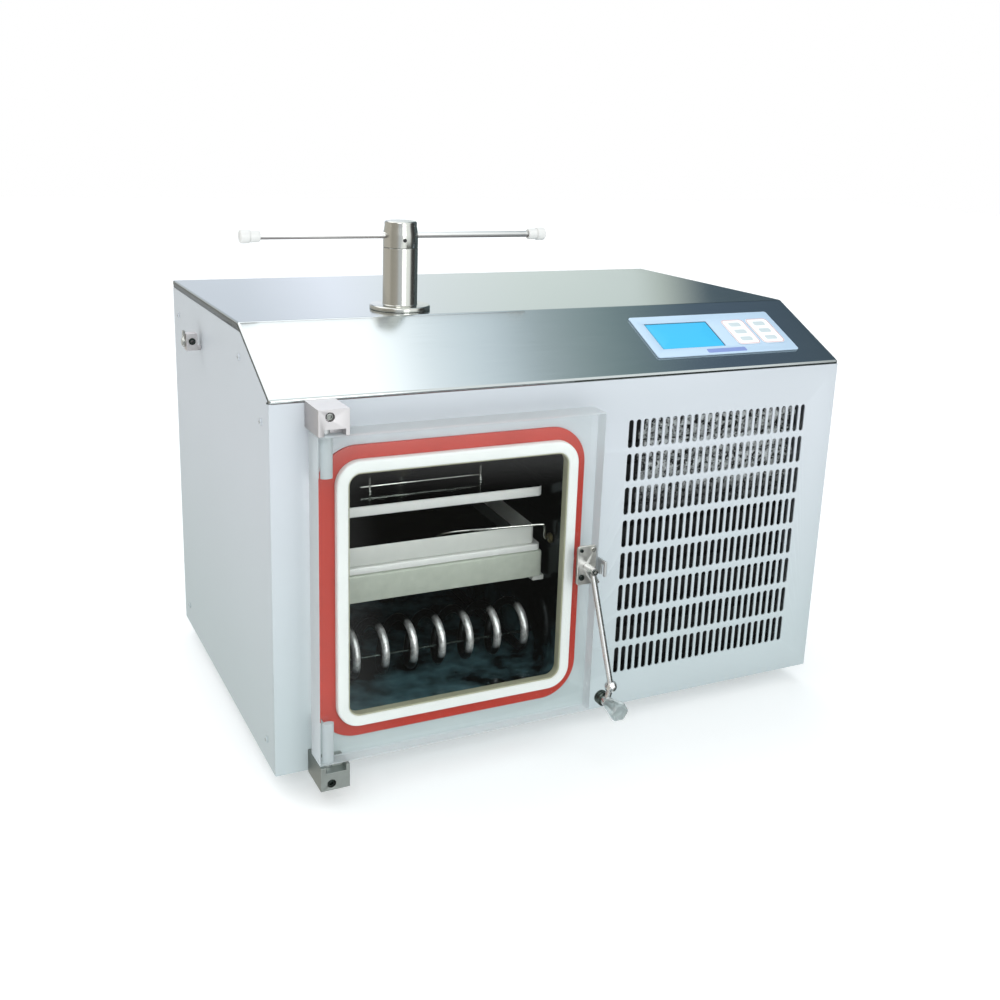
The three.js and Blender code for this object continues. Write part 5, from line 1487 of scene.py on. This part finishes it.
class DRYER_OT_stage(Maker, Operator):
    """Floor, studio lamps and the camera"""

    bl_idname = "dryer.stage"
    bl_label = "Stage"

    def execute(self, context):
        s = self.settings.stage
        scene = bpy.context.scene
        material, tree, place = begun("studio_floor")
        shader = add(tree, "BsdfPrincipled", {"Base Color": tuple(s.floor) + (1,),
            "Roughness": 0.8, "Emission Color": (1, 1, 1, 1), "Emission Strength": s.floor_glow})
        # Light that has been mirrored once meets a dark floor in place of the pale one. It
        # isn't real: it gives the clear door its darker tones
        path = add(tree, "LightPath")
        bench = add(tree, "BsdfDiffuse", {"Color": (0.03, 0.03, 0.03, 1)})
        mirrored = add(tree, "Math", {0: path.outputs["Glossy Depth"], 1: 0.5},
            operation="GREATER_THAN")
        shader = add(tree, "MixShader", {0: mirrored, 1: shader, 2: bench})
        add(tree, "OutputMaterial", {"Surface": shader})
        low = CAD_BOX[0]
        size = 9.0
        corners = [(-size, -size, low[2]), (size, -size, low[2]), (size, size, low[2]), (-size,
            size, low[2])]
        mesh = bpy.data.meshes.new("floor")
        mesh.from_pydata(corners, [], [(0, 1, 2, 3)])
        floor = bpy.data.objects.new("floor", mesh)
        mesh.materials.append(material)
        scene.collection.objects.link(floor)
        floor.visible_glossy = False

        # A made-up room, toned for what the steel mirrors: a white ceiling to the
        # left that gives way to a dark room on the right, a pale wall behind, and a broad
        # bright window straight ahead with the dark room beside it. The view itself sees
        # it as plain white
        world = bpy.data.worlds.new("studio")
        scene.world = world
        world.use_nodes = True
        tree = world.node_tree
        tree.nodes.clear()
        way = add(tree, "SeparateXYZ", {0: add(tree, "TexCoord").outputs["Generated"]})
        across = add(tree, "MapRange", {"Value": way.outputs[0], "From Min": -1.0})

        def tones(*stops):
            """Colours against the sideways share of a direction, from left to right."""
            ramp = add(tree, "ValToRGB", {"Fac": across})
            elements = ramp.color_ramp.elements
            for at, *colour in stops:
                elements.new((at + 1) / 2).color = (*[share / 2 for share in colour], 1)
            elements.remove(elements[-1])
            elements.remove(elements[0])
            return ramp

        def blend(value, start, end, near, far):
            """From near to far as a value goes from start to end."""
            share = add(tree, "MapRange", {"Value": value, "From Min": start, "From Max": end},
                interpolation_type="SMOOTHSTEP")
            return add(tree, "Mix", {0: share, 6: near, 7: far}, data_type="RGBA").outputs[2]

        wall = tones((-0.90, 0.62, 0.59, 0.53), (-0.25, 0.58, 0.58, 0.55), (-0.05, 0.70, 0.76,
            0.82), (0.22, 0.82, 0.88, 0.97), (0.30, 1.06, 1.12, 1.24), (0.38, 0.90, 0.97, 0.98),
            (0.47, 0.78, 0.87, 0.84), (0.55, 0.70, 0.79, 0.76), (0.57, 0.50, 0.57, 0.53), (0.60,
            0.08, 0.12, 0.15), (0.80, 0.10, 0.13, 0.14))
        ceiling = tones((-0.90, 2.0, 2.0, 2.0), (0.30, 1.9, 1.95, 2.0), (0.34, 1.20, 1.30, 1.37),
            (0.42, 0.86, 0.98, 1.06), (0.46, 0.52, 0.62, 0.65), (0.54, 0.26, 0.36, 0.37), (0.62,
            0.11, 0.16, 0.23), (0.80, 0.10, 0.14, 0.16))
        ahead = tones((-0.95, 0.44, 0.42, 0.37), (-0.62, 0.50, 0.48, 0.44), (-0.52, 0.64, 0.68,
            0.72), (-0.30, 0.70, 0.74, 0.78), (-0.24, 1.15, 1.2, 1.2), (0.25, 1.15, 1.2, 1.2),
            (0.33, 0.07, 0.07, 0.06), (0.90, 0.04, 0.05, 0.05))
        ahead_high = tones((-0.95, 0.44, 0.42, 0.37), (-0.62, 0.50, 0.48, 0.44), (-0.52, 0.64,
            0.68, 0.72), (-0.10, 0.70, 0.74, 0.78), (-0.03, 1.15, 1.2, 1.2), (0.70, 1.15, 1.2,
            1.2), (0.82, 0.10, 0.10, 0.10), (0.95, 0.05, 0.05, 0.05))
        ahead = blend(way.outputs[2], -0.24, -0.16, ahead, ahead_high)
        shaded_wall = add(tree, "Mix", {0: 1.0, 6: wall, 7: (0.62, 0.66, 0.7, 1)},
            data_type="RGBA", blend_type="MULTIPLY").outputs[2]
        upper_wall = blend(way.outputs[2], 0.24, 0.34, wall, shaded_wall)
        behind = blend(way.outputs[2], 0.45, 0.65, upper_wall, ceiling)
        room = blend(way.outputs[1], 0.15, -0.2, behind, ahead)
        glow = add(tree, "Background", {"Color": room, "Strength": 2.0})
        plain = add(tree, "Background", {"Color": (1, 1, 1, 1), "Strength": 1.0})
        path = add(tree, "LightPath")
        seen = add(tree, "MixShader", {0: path.outputs["Is Camera Ray"], 1: glow, 2: plain})
        add(tree, "OutputWorld", {"Surface": seen})

        def lamp(name, place, aim, size, power):
            data = bpy.data.lights.new(name, "AREA")
            data.shape = "RECTANGLE"
            data.size, data.size_y = size
            data.energy = power * s.light
            obj = bpy.data.objects.new(name, data)
            obj.location = place
            facing = (Vector(aim) - Vector(place)).to_track_quat("-Z", "Y")
            obj.rotation_mode = "QUATERNION"
            obj.rotation_quaternion = facing
            scene.collection.objects.link(obj)

        lamp("key", (-1.6, -2.6, 2.4), (0, 0, 0.25), (1.6, 1.6), 18)
        lamp("fill", (0.1, -2.9, 0.9), (0, 0, 0.25), (0.9, 1.2), 12)

        camera = bpy.data.cameras.new("camera")
        view = bpy.data.objects.new("camera", camera)
        scene.collection.objects.link(view)
        # Seen from the left and a little above, with a slight tilt of the horizon
        azimuth, elevation, roll = (math.radians(a) for a in (-26.756, 15.491, 2.075))
        back = Vector((math.sin(azimuth) * math.cos(elevation),
            -math.cos(azimuth) * math.cos(elevation), math.sin(elevation)))
        level = (-back).cross(Vector((0, 0, 1))).normalized()
        upright = level.cross(-back)
        side = level * math.cos(roll) + upright * math.sin(roll)
        head = upright * math.cos(roll) - level * math.sin(roll)
        place = Vector(CORNER) + Vector((-293.4, -1089.3, 680.2)) * MM
        basis = Matrix((side, head, back)).transposed().to_4x4()
        view.matrix_world = Matrix.Translation(place) @ basis
        camera.sensor_width = 36
        camera.lens = 41.97
        camera.shift_x = -0.0012
        camera.shift_y = -0.0521
        camera.clip_start, camera.clip_end = 0.05, 60
        scene.camera = view
        scene.view_settings.view_transform = "Standard"
        return {"FINISHED"}


class DRYER_PT_panel(Panel):
    """Sidebar list of the dryer's pieces and their settings"""

    bl_label = "Freeze dryer"
    bl_idname = "DRYER_PT_panel"
    bl_space_type = "VIEW_3D"
    bl_region_type = "UI"
    bl_category = "Freeze dryer"

    def draw(self, context):
        column = self.layout.column(align=True)
        for maker in MAKERS:
            column.operator(maker.bl_idname)
        for name in ("casing", "chamber", "door", "press", "console", "stage"):
            group = getattr(context.scene.freeze_dryer, name)
            box = self.layout.box()
            box.label(text=name.capitalize())
            for key in type(group).__annotations__:
                box.prop(group, key)


SETTINGS = (CasingSettings, ChamberSettings, DoorSettings, PressSettings, ConsoleSettings,
    StageSettings, DryerSettings)
MAKERS = (DRYER_OT_stage, DRYER_OT_front, DRYER_OT_cover, DRYER_OT_feet, DRYER_OT_chamber,
    DRYER_OT_shelf, DRYER_OT_coil, DRYER_OT_probe, DRYER_OT_press, DRYER_OT_door, DRYER_OT_latch,
    DRYER_OT_console, DRYER_OT_services, DRYER_OT_screws)


def register():
    for kind in SETTINGS + MAKERS + (DRYER_PT_panel,):
        bpy.utils.register_class(kind)
    bpy.types.Scene.freeze_dryer = PointerProperty(type=DryerSettings)


def unregister():
    del bpy.types.Scene.freeze_dryer
    for kind in reversed(SETTINGS + MAKERS + (DRYER_PT_panel,)):
        bpy.utils.unregister_class(kind)


def main():
    register()
    for maker in MAKERS:
        group, name = maker.bl_idname.split(".")
        getattr(getattr(bpy.ops, group), name)()


if __name__ == "__main__":
    main()
